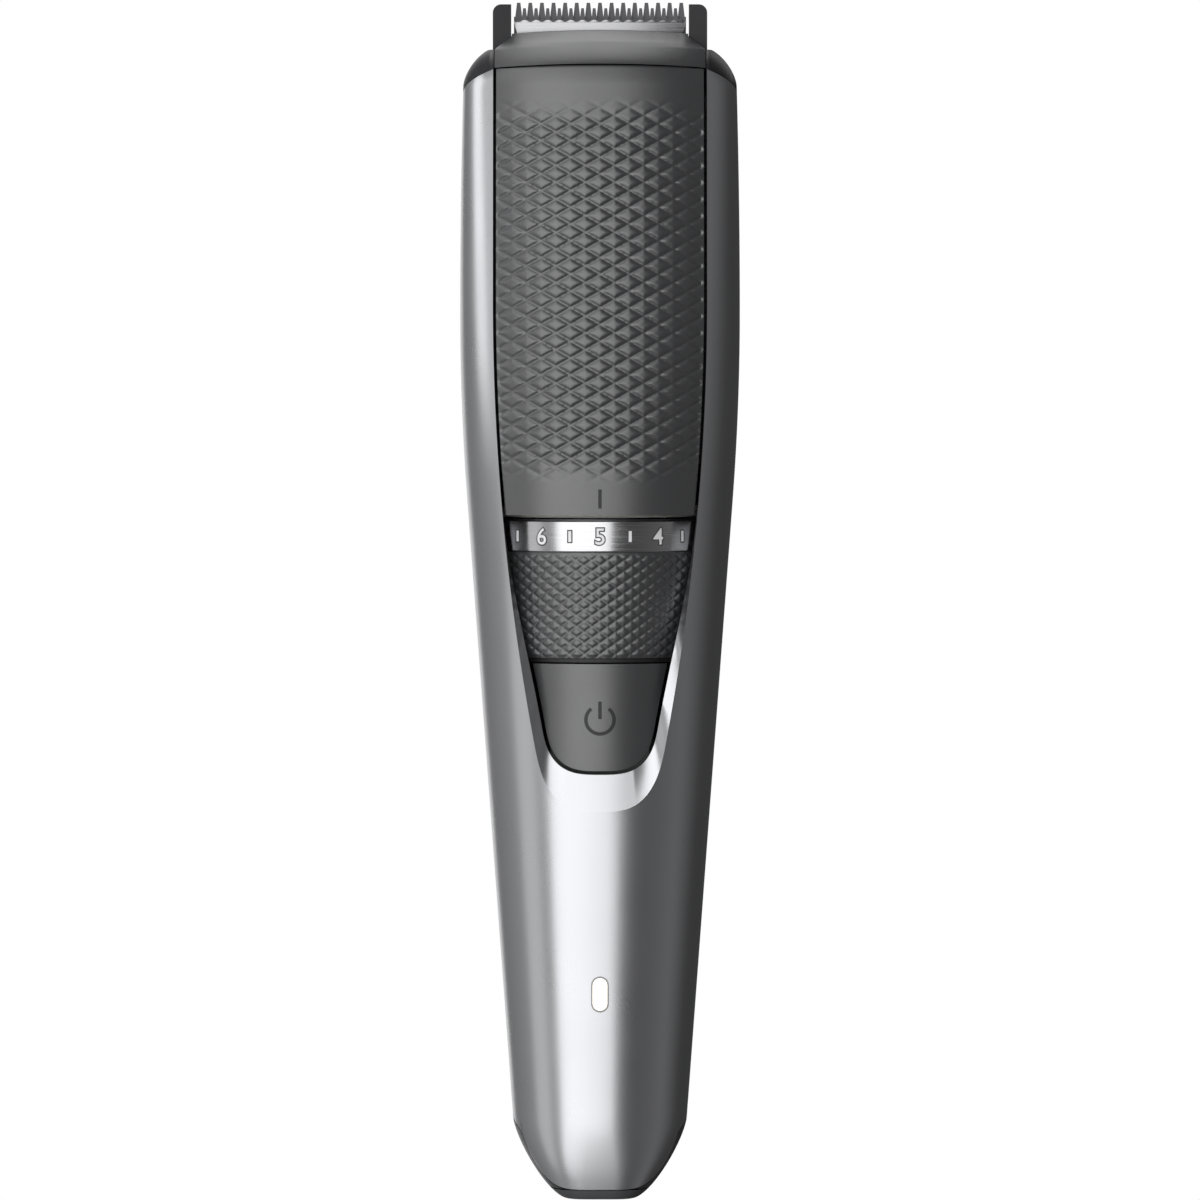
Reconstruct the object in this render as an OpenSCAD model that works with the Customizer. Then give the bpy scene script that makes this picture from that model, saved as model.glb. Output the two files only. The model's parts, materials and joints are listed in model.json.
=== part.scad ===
// Cordless beard trimmer: a two-part shell round a battery, a motor, a length wheel and a comb carrier.
// It stands upright on its base. +Z runs up to the blades, the front faces -Y and +X is to the right.

/* [Body] */
// Greatest width of the grip
grip_w = 40; // [39.8:0.1:41]
// Greatest depth of the grip
grip_d = 37; // [36.8:0.1:38]
// Thickness of the shells
wall = 1.4; // [1.2:0.1:1.4]
// Roundness of the cross-section, where 2 is an ellipse
section_power = 2.3; // [2.2:0.1:2.6]
// Power of the section's curve at the foot, where it is boxier
foot_power = 4.2; // [3.8:0.2:4.6]
// Half width of the flat under the base
foot_half_w = 5.3; // [5.2:0.1:6]
// Half depth of the flat under the base
foot_half_d = 11.2; // [10.8:0.1:11.8]

/* [Length wheel] */
// Radius of the wheel at its scale ring
wheel_r = 16.5; // [16.2:0.1:16.5]
// Turn of the wheel for one millimetre of hair length, in degrees
turn_per_mm = 30; // [28:1:30]
// Shortest hair length, in millimetres
length_min = 0.5; // [0.5:0.5:1]
// Hair length that is set, in millimetres
length_set = 5; // [4.5:0.5:5]
// Longest hair length, in millimetres
length_max = 10; // [9:0.5:10]

/* [Cutter] */
// Number of teeth on the fixed guard
guard_teeth = 15; // [13:2:15]
// Spacing of the guard's teeth
guard_pitch = 1.66; // [1.5:0.02:1.66]
// Number of teeth on the moving blade
cutter_teeth = 14; // [12:2:14]
// Spacing of the moving blade's teeth
cutter_pitch = 1.66; // [1.56:0.02:1.66]
// Throw of the eccentric to each side
stroke = 0.8; // [0.6:0.1:0.8]

/* [Drive] */
// Radius of the motor's can
motor_r = 9; // [8.6:0.1:9]
// Radius of the battery cell
cell_r = 7; // [6.5:0.1:7]
// Radius of the charging port
port_r = 3.2; // [3:0.1:3.2]

/* [Hidden] */
$fn = 48;

// Colours
silver = [0.74, 0.75, 0.77];
charcoal = [0.21, 0.21, 0.22];
black = [0.07, 0.07, 0.08];
steel = [0.78, 0.79, 0.8];
brass = [0.78, 0.62, 0.32];
board_green = [0.08, 0.33, 0.2];
cell_blue = [0.2, 0.36, 0.56];
nylon = [0.85, 0.84, 0.8];

// Body outline along its height
foot_round_z = 10.8;
foot_round_power = 1.45;
side_taper = 0.074;
side_bend_z = 100;
side_widest_z = 126;
side_fade = 0.00043;
depth_taper = 0.06;
depth_bend_z = 92;
depth_widest_z = 104;
neck_z = 160;
front_neck_drop = 6.5;
rear_neck_drop = 6;
shoulder_round_z = 158.5;
shoulder_round_h = 5.5;
shoulder_in_w = 4.5;
shoulder_in_d = 2.5;
shoulder_top = 163.6;

// Parting line between the silver front and the dark rear
part_angle = 93;
rim_h = 1.4;
part_bend_z = 7;
part_power = 3;
rim_angle = 66;
rim_end_z = 9;
rim_fade_h = 3.5;
part_gap = 0.2;
arm_top_outer_z = 157;
arm_top_inner_z = 160.7;
rear_rise_angle = 44;
top_tuck = 1.1;

// Opening in the front shell
opening_half_w = 15.2;
opening_bend_z = 128;
opening_curve = 0.00148;
opening_foot_z = 55.4;
opening_corner_h = 10;
opening_power = 3.2;
lip_foot_z = 60.6;
lip_corner_h = 7;
lip_in = 1.5;

// Panel, wheel and button, from the top down
seam_sag = 0.5;
panel_top_z = 161.2;
panel_foot_z = 97.4;
panel_gap = 0.55;
panel_inset = 0.3;
panel_t = 1.6;
wheel_top_z = 96.8;
ring_top_z = 96.6;
ring_foot_z = 92.2;
knurl_top_z = 92;
wheel_foot_z = 77.1;
wheel_foot_r = wheel_r - 0.9;
wheel_bore_r = 14.5;
ring_seat_r = 15.4;
button_top_z = 76.3;
button_foot_z = 61.1;
button_gap = 0.5;
button_t = 1.6;
button_top_r = 15.45;
button_lean = 0.055;

// Cam sleeve and follower
sleeve_bore_r = 12.4;
sleeve_foot_z = 79.3;
sleeve_top_z = 96.4;
cam_rest_z = 87;
cam_lead = 360 / turn_per_mm;
follower_r = 0.95;
cam_slot_half_h = 1.05;
cam_end_angle = 4.6;
running_gap = 0.05;

// Comb carrier
arm_in_x = 12.7;
arm_out_x = 15.3;
arm_half_y = 2;
arm_top_z = 170.1;
bridge_foot_z = 104.5;
bridge_h = 3.5;
leg_half_x = 2.4;
leg_in_y = 9.8;
leg_out_y = 12;
leg_foot_z = 84.5;

// Chassis
hub_foot_z = 76.5;
hub_top_z = 79;
tube_r = 9.3;
tube_bore_r = 7.8;
tube_top_z = 99.4;
spine_half_x = 6;
spine_in_y = 8.4;
spine_out_y = 10.4;
spine_foot_z = 17;

// Motor
motor_foot_z = 117;
motor_top_z = 147;
can_t = 0.8;
shaft_r = 1;
shaft_foot_z = 114.2;
frame_foot_z = 148.4;
frame_top_z = 150.8;
motor_screw_x = 7.4;
collar_screw_x = 5.5;
collar_screw_y = 7.8;
eccentric_foot_z = 151.6;
eccentric_top_z = 154.4;
pin_top_z = 159.6;

// Cutter head
plug_half_x = 10.3;
plug_half_y = 5.3;
plug_foot_z = 157.2;
flange_foot_z = 160.9;
flange_top_z = 162.9;
cover_half_w = 15;
cover_top_half_w = 12.6;
cover_bend_z = 163.6;
cover_top_z = 166.2;
cover_front_d = 11.4;
guard_y = 0.3;
guard_t = 0.6;
guard_root_z = 168.4;
guard_tip_z = 170.4;
cutter_foot_z = 164.7;
cutter_root_z = 168;
cutter_tip_z = 169.6;
blade_screw_x = 10;
blade_screw_z = 163.9;

// Power parts
cell_foot_z = 21;
cell_top_z = 69.5;
board_front_y = -9.6;
board_t = 1.2;
board_half_x = 7;
led_z = 29.4;
port_depth = 2.5;
socket_r = 4.5;

function mix(a, b, t) = a + (b - a) * t;
function clamp01(t) = max(0, min(1, t));
function smooth(t) = let (c = clamp01(t)) c * c * (3 - 2 * c);
function quarter(t, p) = pow(max(0, 1 - pow(clamp01(t), p)), 1 / p);

// Half width and half depths of the body at height z
function foot_round(z) = quarter((foot_round_z - z) / foot_round_z, foot_round_power);
function top_round(z) = 1 - quarter((z - shoulder_round_z) / shoulder_round_h, 1.6);
function side_narrowing(z) =
    z < side_bend_z ? side_taper * ((side_bend_z - z) + (side_widest_z - side_bend_z) / 2) :
    z < side_widest_z ? side_taper * pow(side_widest_z - z, 2) / (2 * (side_widest_z - side_bend_z)) :
    side_fade * pow(z - side_widest_z, 2);
function depth_narrowing(z) =
    z < depth_bend_z ? depth_taper * ((depth_bend_z - z) + (depth_widest_z - depth_bend_z) / 2) :
    z < depth_widest_z ? depth_taper * pow(depth_widest_z - z, 2) / (2 * (depth_widest_z - depth_bend_z)) :
    0;
function neck(z, power) = pow(max(0, (z - depth_widest_z) / (neck_z - depth_widest_z)), power);
function half_w(z) = mix(foot_half_w, grip_w / 2 - side_narrowing(z), foot_round(z))
    - shoulder_in_w * top_round(z);
function half_d(z, drop, power) = mix(foot_half_d, grip_d / 2 - depth_narrowing(z), foot_round(z))
    - drop * neck(z, power) - shoulder_in_d * top_round(z);
function front_d(z) = half_d(z, front_neck_drop, 1.4);
function rear_d(z) = half_d(z, rear_neck_drop, 2);

// Point of the body's surface at angle a from the front centre line, set in by t
function signed_pow(v, p) = sign(v) * pow(abs(v), p);
function power_at(z) = mix(foot_power, section_power, foot_round(z));
function skin(a, z, t = 0) = [
    (half_w(z) - t) * signed_pow(sin(a), 2 / power_at(z)),
    -((cos(a) > 0 ? front_d(z) : rear_d(z)) - t) * signed_pow(cos(a), 2 / power_at(z)),
    z];
function skin_y(x, z, t = 0) =
    -(front_d(z) - t) * quarter(abs(x) / (half_w(z) - t), power_at(z));
function skin_angle(x, z) = asin(min(1, pow(abs(x) / half_w(z), power_at(z) / 2)));

// Edges of the front shell, where u runs from 0 at the foot, by 1 at the corner's end, to 2 at the top
function corner_in(u, p) = pow(sin(90 * min(1, u)), 2 / p);
function corner_down(u, p) = pow(max(0, cos(90 * min(1, u))), 2 / p);
function edge_z(u, foot, corner_h, top, p) =
    mix(foot + corner_h * (1 - corner_down(u, p)), top, max(0, u - 1));
function opening_x(z) = opening_half_w - opening_curve * pow(max(0, opening_bend_z - z), 2);
function opening_edge(u) =
    let (z = edge_z(u, opening_foot_z, opening_corner_h, arm_top_inner_z, opening_power))
    [opening_x(z) * corner_in(u, opening_power), z];
function lip_x(z) = opening_x(z) - mix(0.1, lip_in, smooth((panel_foot_z - z) / 30));
function lip_edge(u) =
    let (z = edge_z(u, lip_foot_z, lip_corner_h, arm_top_inner_z, opening_power))
    [lip_x(z) * corner_in(u, opening_power), z];
function part_limit(z) = mix(rim_angle, part_angle, smooth((z - rim_end_z) / rim_fade_h));
function outer_edge(u) =
    let (z = edge_z(u, rim_h, part_bend_z - rim_h, arm_top_outer_z, part_power))
    [part_limit(z) * corner_in(u, part_power), z];
function part_angle_at(z) =
    let (c = pow(clamp01((part_bend_z - z) / (part_bend_z - rim_h)), part_power / 2))
    part_limit(z) * pow(sqrt(1 - c * c), 2 / part_power);

// Radius behind which the lip keeps clear of the button below the wheel and of the wheel itself
function button_r(z) = button_top_r - button_lean * (button_top_z - z);
function lip_r(z) = mix(button_r(z), wheel_r + 0.5, smooth((z - 72) / 4.5));
function lip_back_r(z) = mix(button_r(z) - 1.2, wheel_r + 0.5, smooth((z - 72) / 4.5));
function circle_y(x, r) = -sqrt(max(0.01, r * r - x * x));
function lip_y(x, z, r, t) = max(skin_y(x, z) + t, z < panel_foot_z + 0.5 ? circle_y(x, r) : -99);

// Closed solid through a list of rings, which turn counter-clockwise seen from the last one. The halves
// of each ring mirror or face each other, so strips from point k to point n - 1 - k close the two ends.
module sweep_solid(rings) {
    n = len(rings[0]);
    last = len(rings) - 1;
    sides = [for (r = [0:last - 1], k = [0:n - 1])
        [(r + 1) * n + k, (r + 1) * n + (k + 1) % n, r * n + (k + 1) % n, r * n + k]];
    start = [for (k = [0:n / 2 - 2]) [k, k + 1, n - 2 - k, n - 1 - k]];
    end = [for (f = start) [for (k = [3:-1:0]) f[k] + last * n]];
    polyhedron([for (r = rings, p = r) p], concat(sides, start, end), convexity = 10);
}

// Box from its lowest to its highest corner
module block(lo, hi) {
    translate(lo)
        cube(hi - lo);
}

// Upright tube or disc
module ring(r_in, r_out, z0, z1) {
    translate([0, 0, z0])
        difference() {
            cylinder(r = r_out, h = z1 - z0);
            translate([0, 0, -1])
                cylinder(r = r_in, h = z1 - z0 + 2);
        }
}

// Upright rod
module rod(r, z0, z1) {
    translate([0, 0, z0])
        cylinder(r = r, h = z1 - z0);
}

// Rod along Y
module cross_rod(r, y0, y1) {
    translate([0, y0, 0])
        rotate([-90, 0, 0])
            cylinder(r = r, h = y1 - y0);
}

// Copies at plus and minus x
module both_sides(x) {
    for (side = [-1, 1])
        translate([side * x, 0, 0])
            children();
}

// One ring of the front shell at u, from the parting line to the opening and back inside
function shell_ring(u, columns) =
    let (v = abs(u), side = u < 0 ? -1 : 1)
    let (outer = outer_edge(v), hole = opening_edge(v), edge = lip_edge(v))
    let (out_x = sin(90 * min(1, v)), out_z = cos(90 * min(1, v)))
    let (hole_a = skin_angle(hole[0], hole[1]), tuck = v == 2 ? top_tuck : 0)
    let (lip = [edge[0], edge[1] - tuck])
    let (back = [lip[0] + out_x, lip[1] - out_z])
    let (under = [hole[0] + 1.2 * out_x, hole[1] - 1.2 * out_z - tuck])
    let (under_a = skin_angle(under[0], under[1]))
    let (ring = concat(
        [for (m = [0:columns]) let (f = m / columns)
            skin(mix(outer[0], hole_a, f), mix(outer[1], hole[1], f))],
        [[lip[0], lip_y(lip[0], lip[1], lip_r(lip[1]), 1.3), lip[1]]],
        [[back[0], lip_y(back[0], back[1], lip_back_r(back[1]), 1.5), back[1]]],
        [for (m = [columns:-1:0]) let (f = m / columns)
            skin(mix(outer[0], under_a, f), mix(outer[1], under[1], f), wall)]))
    [for (p = ring) [side * p[0], p[1], p[2]]];

module front_shell() {
    steps = concat([for (v = [2:-0.0625:1.0625]) v], [for (v = [1.045:-0.015:1.015]) v],
        [for (v = [1:-0.1:0.1]) v]);
    right = [for (u = steps) shell_ring(u, 9)];
    left = [for (k = [len(steps) - 1:-1:0]) shell_ring(-steps[k], 9)];
    color(silver)
        difference() {
            sweep_solid(concat(right, [shell_ring(0, 9)], left));
            translate([0, -8, led_z])
                rotate([90, 0, 0])
                    stadium(1.25, 2.6, 12);
        }
}

module stadium(half_x, half_z, h) {
    linear_extrude(h) {
        square([2 * half_x, 2 * (half_z - half_x)], center = true);
        for (s = [-1, 1])
            translate([0, s * (half_z - half_x)])
                circle(half_x);
    }
}

function rear_ring(z, columns) =
    let (a0 = part_angle_at(z + part_gap) + 0.6, span = 360 - 2 * a0)
    let (angles = [for (m = [0:columns]) a0 + span * m / columns])
    let (drop = (arm_top_inner_z - arm_top_outer_z) * clamp01((z - 140) / (arm_top_inner_z - 140)))
    let (levels = [for (a = angles)
        z - drop * clamp01(1 - (min(a, 360 - a) - part_angle) / rear_rise_angle)])
    let (tuck = z == arm_top_inner_z ? top_tuck : 0)
    concat(
        [for (m = [0:columns]) skin(angles[m], levels[m])],
        [for (m = [columns:-1:0]) skin(angles[m], levels[m] - tuck, wall)]);

module rear_shell() {
    low = [for (u = [0.2:0.1:1]) edge_z(u, rim_h, part_bend_z - rim_h, arm_top_inner_z, part_power)];
    high = [for (v = [0.015, 0.03, 0.045, 0.1, 0.18, 0.26, 0.35, 0.44, 0.54, 0.63, 0.72, 0.81, 0.91, 1])
        mix(part_bend_z, arm_top_inner_z, v)];
    color(charcoal)
        sweep_solid([for (z = concat(low, high)) rear_ring(z, 26)]);
}

// One row of the grip panel: front points from left to right, then the back
function panel_row(z, sag, half_x, inset, t, columns) =
    let (xs = [for (m = [0:columns]) mix(-half_x, half_x, m / columns)])
    let (zs = [for (x = xs) z - sag * pow(x / opening_half_w, 2)])
    concat(
        [for (m = [0:columns]) [xs[m], skin_y(xs[m], zs[m]) + inset, zs[m]]],
        [for (m = [columns:-1:0]) [xs[m], skin_y(xs[m], zs[m]) + inset + t, zs[m]]]);

module grip_panel() {
    color(charcoal)
        sweep_solid([for (k = [0:12])
            let (f = k / 12, z = mix(panel_foot_z, panel_top_z, f))
            panel_row(z, seam_sag * f * f * f, opening_x(z) - panel_gap, panel_inset, panel_t, 14)]);
}

// Ring of the whole body, set in by t
function body_ring(z, t, n = 48) = [for (k = [0:n - 1]) skin((k + 0.5) * 360 / n, z, t)];

// Height of the shells' top edge, which dips towards the parting line
function shell_top(a) =
    let (front_a = skin_angle(opening_half_w, arm_top_inner_z))
    let (rise = a < part_angle
        ? (part_angle - a) / (part_angle - front_a)
        : (a - part_angle) / rear_rise_angle)
    mix(arm_top_outer_z, arm_top_inner_z, clamp01(rise));

// One ring of a shoulder, outside the chord at x, from the arm's top edge (f = 0) to its own top (f = 1)
function shoulder_ring(f, chord_x, edge, columns) =
    let (a0 = skin_angle(chord_x + edge, mix(arm_top_inner_z, shoulder_top, f)))
    let (arc = [for (m = [0:columns])
        let (a = mix(a0, 180 - a0, m / columns))
        skin(a, mix(shell_top(a) + 0.15, shoulder_top, f))])
    concat(arc, [for (m = [columns:-1:0]) [chord_x, arc[m][1], arc[m][2]]]);

module shoulder_collar() {
    plate_top = 160.6;
    plate_foot = 157.5;
    chord_x = 15.1;
    edge = 0.35;
    arm_gap = 0.2;
    plug_gap = 0.2;
    color(black)
        difference() {
            union() {
                translate([0, 0, plate_foot])
                    linear_extrude(plate_top - plate_foot)
                        polygon([for (p = body_ring(plate_top, 2.3)) [p[0], p[1]]]);
                for (side = [0, 1])
                    mirror([side, 0, 0])
                        sweep_solid([for (f = [0:0.2:1]) shoulder_ring(f, chord_x, edge, 12)]);
            }
            block([-plug_half_x - plug_gap, -plug_half_y - plug_gap, plate_foot - 1],
                [plug_half_x + plug_gap, plug_half_y + plug_gap, plate_top + 1]);
            both_sides((arm_in_x + arm_out_x) / 2)
                block([-1.5, -arm_half_y - arm_gap, plate_foot - 1],
                    [1.5, arm_half_y + arm_gap, shoulder_top + 1]);
            both_sides(collar_screw_x)
                translate([0, collar_screw_y, 0]) {
                    rod(0.8, plate_foot - 1, plate_top);
                    rod(1.6, plate_top - 1.2, plate_top + 1);
                }
        }
}

module base_cap() {
    rim = [for (z = [0, 0.3, 0.8, rim_h - 0.1]) body_ring(z, 0)];
    plug = [for (z = [rim_h - 0.1, 8]) body_ring(z, wall + 0.4)];
    color(charcoal)
        difference() {
            sweep_solid(concat(rim, plug));
            rod(port_r, -1, port_depth + 1);
            rod(socket_r + running_gap, port_depth, 9);
        }
}

module led_window() {
    color([1, 0.95, 0.85])
        translate([0, -11.2, led_z])
            rotate([90, 0, 0])
                stadium(1.2, 2.5, front_d(led_z) - 11.2);
}

module led() {
    color([1, 1, 0.9])
        block([-1, -11, led_z - 1], [1, board_front_y, led_z + 1]);
}

module circuit_board() {
    color(board_green)
        block([-board_half_x, board_front_y, 20], [board_half_x, board_front_y + board_t, 75]);
}

module tact_switch() {
    switch_z = (button_top_z + button_foot_z) / 2;
    color(black) {
        block([-2.2, board_front_y - 1.2, switch_z - 2.2], [2.2, board_front_y, switch_z + 2.2]);
        translate([0, 0, switch_z])
            cross_rod(1.2, board_front_y - 1.8, board_front_y - 1);
    }
}

module battery_cell() {
    color(cell_blue) {
        rod(cell_r, cell_foot_z, cell_top_z);
        rod(2.5, cell_top_z - 1, cell_top_z + 0.8);
    }
}

module battery_tab(z) {
    color(steel)
        block([-2, board_front_y + board_t, z], [2, 2, z + 0.3]);
}

module battery_tab_positive() {
    battery_tab(cell_top_z + 0.8);
}

module battery_tab_negative() {
    battery_tab(cell_foot_z - 0.3);
}

module saddle(z) {
    difference() {
        ring(cell_r + 0.1, cell_r + 1.6, z, z + 3);
        block([-10, -10, z - 1], [10, -1, z + 4]);
    }
}

module chassis() {
    color(nylon) {
        ring(tube_bore_r, wheel_bore_r - running_gap, hub_foot_z, hub_top_z);
        ring(tube_bore_r, tube_r, hub_foot_z, tube_top_z);
        block([-spine_half_x, spine_in_y, spine_foot_z], [spine_half_x, spine_out_y, hub_foot_z + 0.5]);
        for (z = [26, 62])
            saddle(z);
    }
}

module wheel_retainer() {
    foot = wheel_top_z + 0.2;
    color(nylon)
        difference() {
            ring(tube_r, 14.2, foot, foot + 1.6);
            block([-leg_half_x - 0.3, leg_in_y - 0.3, foot - 1],
                  [leg_half_x + 0.3, leg_out_y + 0.3, foot + 3]);
        }
}

module detent_spring() {
    spring_top = wheel_foot_z - 0.15;
    leaf_foot = spring_top - 0.3;
    arm_foot = hub_foot_z - 0.6;
    color(steel) {
        rotate([0, 0, 50])
            translate([0, 0, leaf_foot])
                rotate_extrude(angle = 80)
                    translate([14.6, 0])
                        square([0.7, 0.3]);
        block([-1.5, spine_out_y + 0.02, 74], [1.5, spine_out_y + 0.42, arm_foot + 0.5]);
        block([-1.5, spine_out_y + 0.02, arm_foot], [1.5, 15.2, hub_foot_z - 0.1]);
        block([-1.5, 14.6, arm_foot], [1.5, 15.2, leaf_foot]);
    }
}

module drive_frame() {
    color(nylon)
        difference() {
            union() {
                block([-11.6, -8, frame_foot_z], [11.6, 11, frame_top_z]);
                block([-7, 9.4, 114], [7, 11, frame_top_z]);
                both_sides(collar_screw_x)
                    translate([0, collar_screw_y, 0])
                        rod(1.9, frame_top_z - 1, 157.4);
            }
            rod(3.2, frame_foot_z - 1, frame_top_z + 1);
            both_sides(motor_screw_x)
                rod(0.7, frame_foot_z - 1, frame_top_z + 1);
            both_sides(collar_screw_x)
                translate([0, collar_screw_y, 0])
                    rod(0.8, 152, 158);
        }
}

module motor_can() {
    color(steel)
        difference() {
            union() {
                rod(motor_r, motor_foot_z, motor_top_z);
                rod(3, motor_top_z - 0.5, frame_foot_z);
            }
            rod(motor_r - can_t, motor_foot_z - 1, motor_top_z - 1);
            rod(2, motor_top_z - 2, frame_foot_z + 1);
            both_sides(motor_screw_x)
                rod(0.7, motor_top_z - 2, motor_top_z + 1);
        }
}

module motor_end_cap() {
    color(black)
        difference() {
            union() {
                rod(motor_r, motor_foot_z - 1.4, motor_foot_z);
                rod(motor_r - can_t, motor_foot_z - 0.5, motor_foot_z + 1.2);
            }
            rod(shaft_r + running_gap, motor_foot_z - 2, motor_foot_z + 2);
        }
}

module motor_magnets() {
    color(black)
        for (turn = [20, 200])
            rotate([0, 0, turn])
                translate([0, 0, motor_foot_z + 4])
                    rotate_extrude(angle = 140)
                        translate([motor_r - can_t - 1.3, 0])
                            square([1.3, 22]);
}

module motor_bearing() {
    color(brass)
        ring(shaft_r + running_gap, 2, motor_top_z - 1.5, frame_foot_z - 0.2);
}

module cap_screw(r, z0, z1, head_r, head_h) {
    rod(r, z0, z1 + 0.2);
    difference() {
        rod(head_r, z1, z1 + head_h);
        block([-head_r, -0.2, z1 + head_h - 0.4], [head_r, 0.2, z1 + head_h + 1]);
        block([-0.2, -head_r, z1 + head_h - 0.4], [0.2, head_r, z1 + head_h + 1]);
    }
}

module motor_screws() {
    color(steel)
        both_sides(motor_screw_x)
            cap_screw(0.7, motor_top_z - 1.2, frame_top_z, 1.4, 1);
}

module collar_screws() {
    color(steel)
        both_sides(collar_screw_x)
            translate([0, collar_screw_y, 0])
                cap_screw(0.8, 152.2, 159.4, 1.5, 1);
}

module drive_seal() {
    color(black)
        ring(5.2, 5.9, frame_top_z, 156.9);
}

module charging_socket() {
    foot = port_depth + 0.1;
    color(black)
        difference() {
            rod(socket_r, foot, 14);
            rod(2.6, foot - 1, 11);
        }
}

module socket_pin() {
    color(brass)
        rod(0.6, 4, 11);
}

module motor_shaft() {
    color(steel)
        rod(shaft_r, shaft_foot_z, 154);
}

module armature() {
    foot = motor_foot_z + 5;
    color(steel)
        difference() {
            ring(shaft_r, 6.4, foot, foot + 20);
            for (turn = [0, 120, 240])
                rotate([0, 0, turn])
                    block([3.2, -0.6, foot - 1], [7, 0.6, foot + 21]);
        }
}

module commutator() {
    color(brass)
        ring(shaft_r, 2.6, motor_foot_z + 2, motor_foot_z + 4.5);
}

module eccentric() {
    color(nylon)
        difference() {
            union() {
                rod(3.6, eccentric_foot_z, eccentric_top_z);
                translate([stroke, 0, 0])
                    rod(1, eccentric_top_z - 0.5, pin_top_z);
            }
            rod(shaft_r, eccentric_foot_z - 1, 154);
        }
}

module length_wheel() {
    color(charcoal)
        rotate_extrude($fn = 96)
            polygon([[wheel_bore_r, wheel_foot_z], [wheel_foot_r, wheel_foot_z], [wheel_r, knurl_top_z],
                [wheel_r, ring_foot_z], [ring_seat_r, ring_foot_z], [ring_seat_r, wheel_top_z],
                [wheel_bore_r, wheel_top_z]]);
}

module scale_ring() {
    color(steel)
        ring(ring_seat_r, wheel_r, ring_foot_z, ring_top_z, $fn = 96);
}

// Helical slot that turns the wheel's angle into the comb carrier's height
function cam_z(a) = cam_rest_z + cam_lead * (90 - a) / 360;

module cam_slot() {
    a0 = 90 - turn_per_mm * (length_max - length_set) - cam_end_angle;
    a1 = 90 + turn_per_mm * (length_set - length_min) + cam_end_angle;
    steps = 40;
    r0 = sleeve_bore_r - 0.6;
    r1 = wheel_bore_r + 0.6;
    sweep_solid([for (k = [0:steps])
        let (a = mix(a0, a1, k / steps), z = cam_z(a))
        [[r0 * cos(a), r0 * sin(a), z + cam_slot_half_h], [r1 * cos(a), r1 * sin(a), z + cam_slot_half_h],
         [r1 * cos(a), r1 * sin(a), z - cam_slot_half_h], [r0 * cos(a), r0 * sin(a), z - cam_slot_half_h]]]);
}

module cam_sleeve() {
    color(nylon)
        difference() {
            ring(sleeve_bore_r, wheel_bore_r, sleeve_foot_z, sleeve_top_z);
            cam_slot();
        }
}

module comb_arm() {
    corner_r = 1.2;
    difference() {
        block([arm_in_x, -arm_half_y, bridge_foot_z], [arm_out_x, arm_half_y, arm_top_z]);
        translate([arm_out_x - corner_r, 0, arm_top_z - corner_r])
            difference() {
                block([0, -5, 0], [5, 5, 5]);
                cross_rod(corner_r, -6, 6);
            }
    }
}

module comb_carrier() {
    bridge_top = bridge_foot_z + bridge_h;
    color(black)
        difference() {
            union() {
                comb_arm();
                mirror([1, 0, 0])
                    comb_arm();
                block([-arm_out_x, -arm_half_y, bridge_foot_z], [arm_out_x, arm_half_y, bridge_top]);
                block([-leg_half_x, 0, bridge_foot_z], [leg_half_x, leg_out_y, bridge_top]);
                rod(5, bridge_foot_z, bridge_top);
                block([-leg_half_x, leg_in_y, leg_foot_z], [leg_half_x, leg_out_y, bridge_top]);
            }
            rod(3.2, bridge_foot_z - 1, bridge_top + 1);
        }
}

module cam_follower() {
    color(steel)
        translate([0, 0, cam_rest_z])
            cross_rod(follower_r, leg_out_y, 14.3);
}

// Front or rear depth of the head cover at height z
function cover_d(z, top_d) =
    mix(cover_front_d, top_d, pow(clamp01((z - flange_foot_z) / (cover_top_z - flange_foot_z)), 1.25));
function cover_half(z) = mix(cover_half_w, cover_top_half_w, clamp01((z - cover_bend_z) / 1.9));
function cover_row(z, sag, columns) =
    let (half = cover_half(z), arch = half_w(161) * half / cover_half_w)
    let (xs = [for (m = [0:columns]) mix(-half, half, m / columns)])
    let (zs = [for (x = xs) z + sag * (1 - pow(x / half, 2))])
    concat(
        [for (m = [0:columns]) [xs[m], -cover_d(z, 2.7) * quarter(abs(xs[m]) / arch, section_power), zs[m]]],
        [for (m = [columns:-1:0])
            [xs[m], cover_d(z, 2.3) * quarter(abs(xs[m]) / arch, section_power), zs[m]]]);

module head_cover() {
    levels = [flange_foot_z, 162, 163, cover_bend_z, 164.5, 165.5, cover_top_z - 0.3];
    color(charcoal)
        difference() {
            sweep_solid([for (z = levels) cover_row(z, seam_sag, 14)]);
            block([-11.9, -7, 160], [11.9, 7, 163]);
            block([-12.5, -2.1, 162.9], [12.5, 1.1, 168]);
            both_sides((arm_in_x + arm_out_x) / 2)
                block([-1.5, -arm_half_y - 0.25, 160], [2, arm_half_y + 0.25, 168]);
            mirror([1, 0, 0])
                block([12.5, -arm_half_y - 0.25, 160], [16, arm_half_y + 0.25, 168]);
        }
}

module head_base() {
    color(black)
        difference() {
            union() {
                block([-plug_half_x, -plug_half_y, plug_foot_z], [plug_half_x, plug_half_y, flange_top_z]);
                block([-11.7, -6.8, flange_foot_z], [11.7, 6.8, flange_top_z]);
            }
            block([-4.6, -3.2, plug_foot_z - 1], [4.6, 3.2, flange_top_z + 1]);
        }
}

module teeth(count, pitch, root_w, tip_w, root_z, tip_z, y, t) {
    for (k = [0:count - 1])
        translate([(k - (count - 1) / 2) * pitch, y + t, 0])
            rotate([90, 0, 0])
                linear_extrude(t)
                    polygon([[-root_w / 2, root_z], [root_w / 2, root_z],
                             [tip_w / 2, tip_z], [-tip_w / 2, tip_z]]);
}

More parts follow.
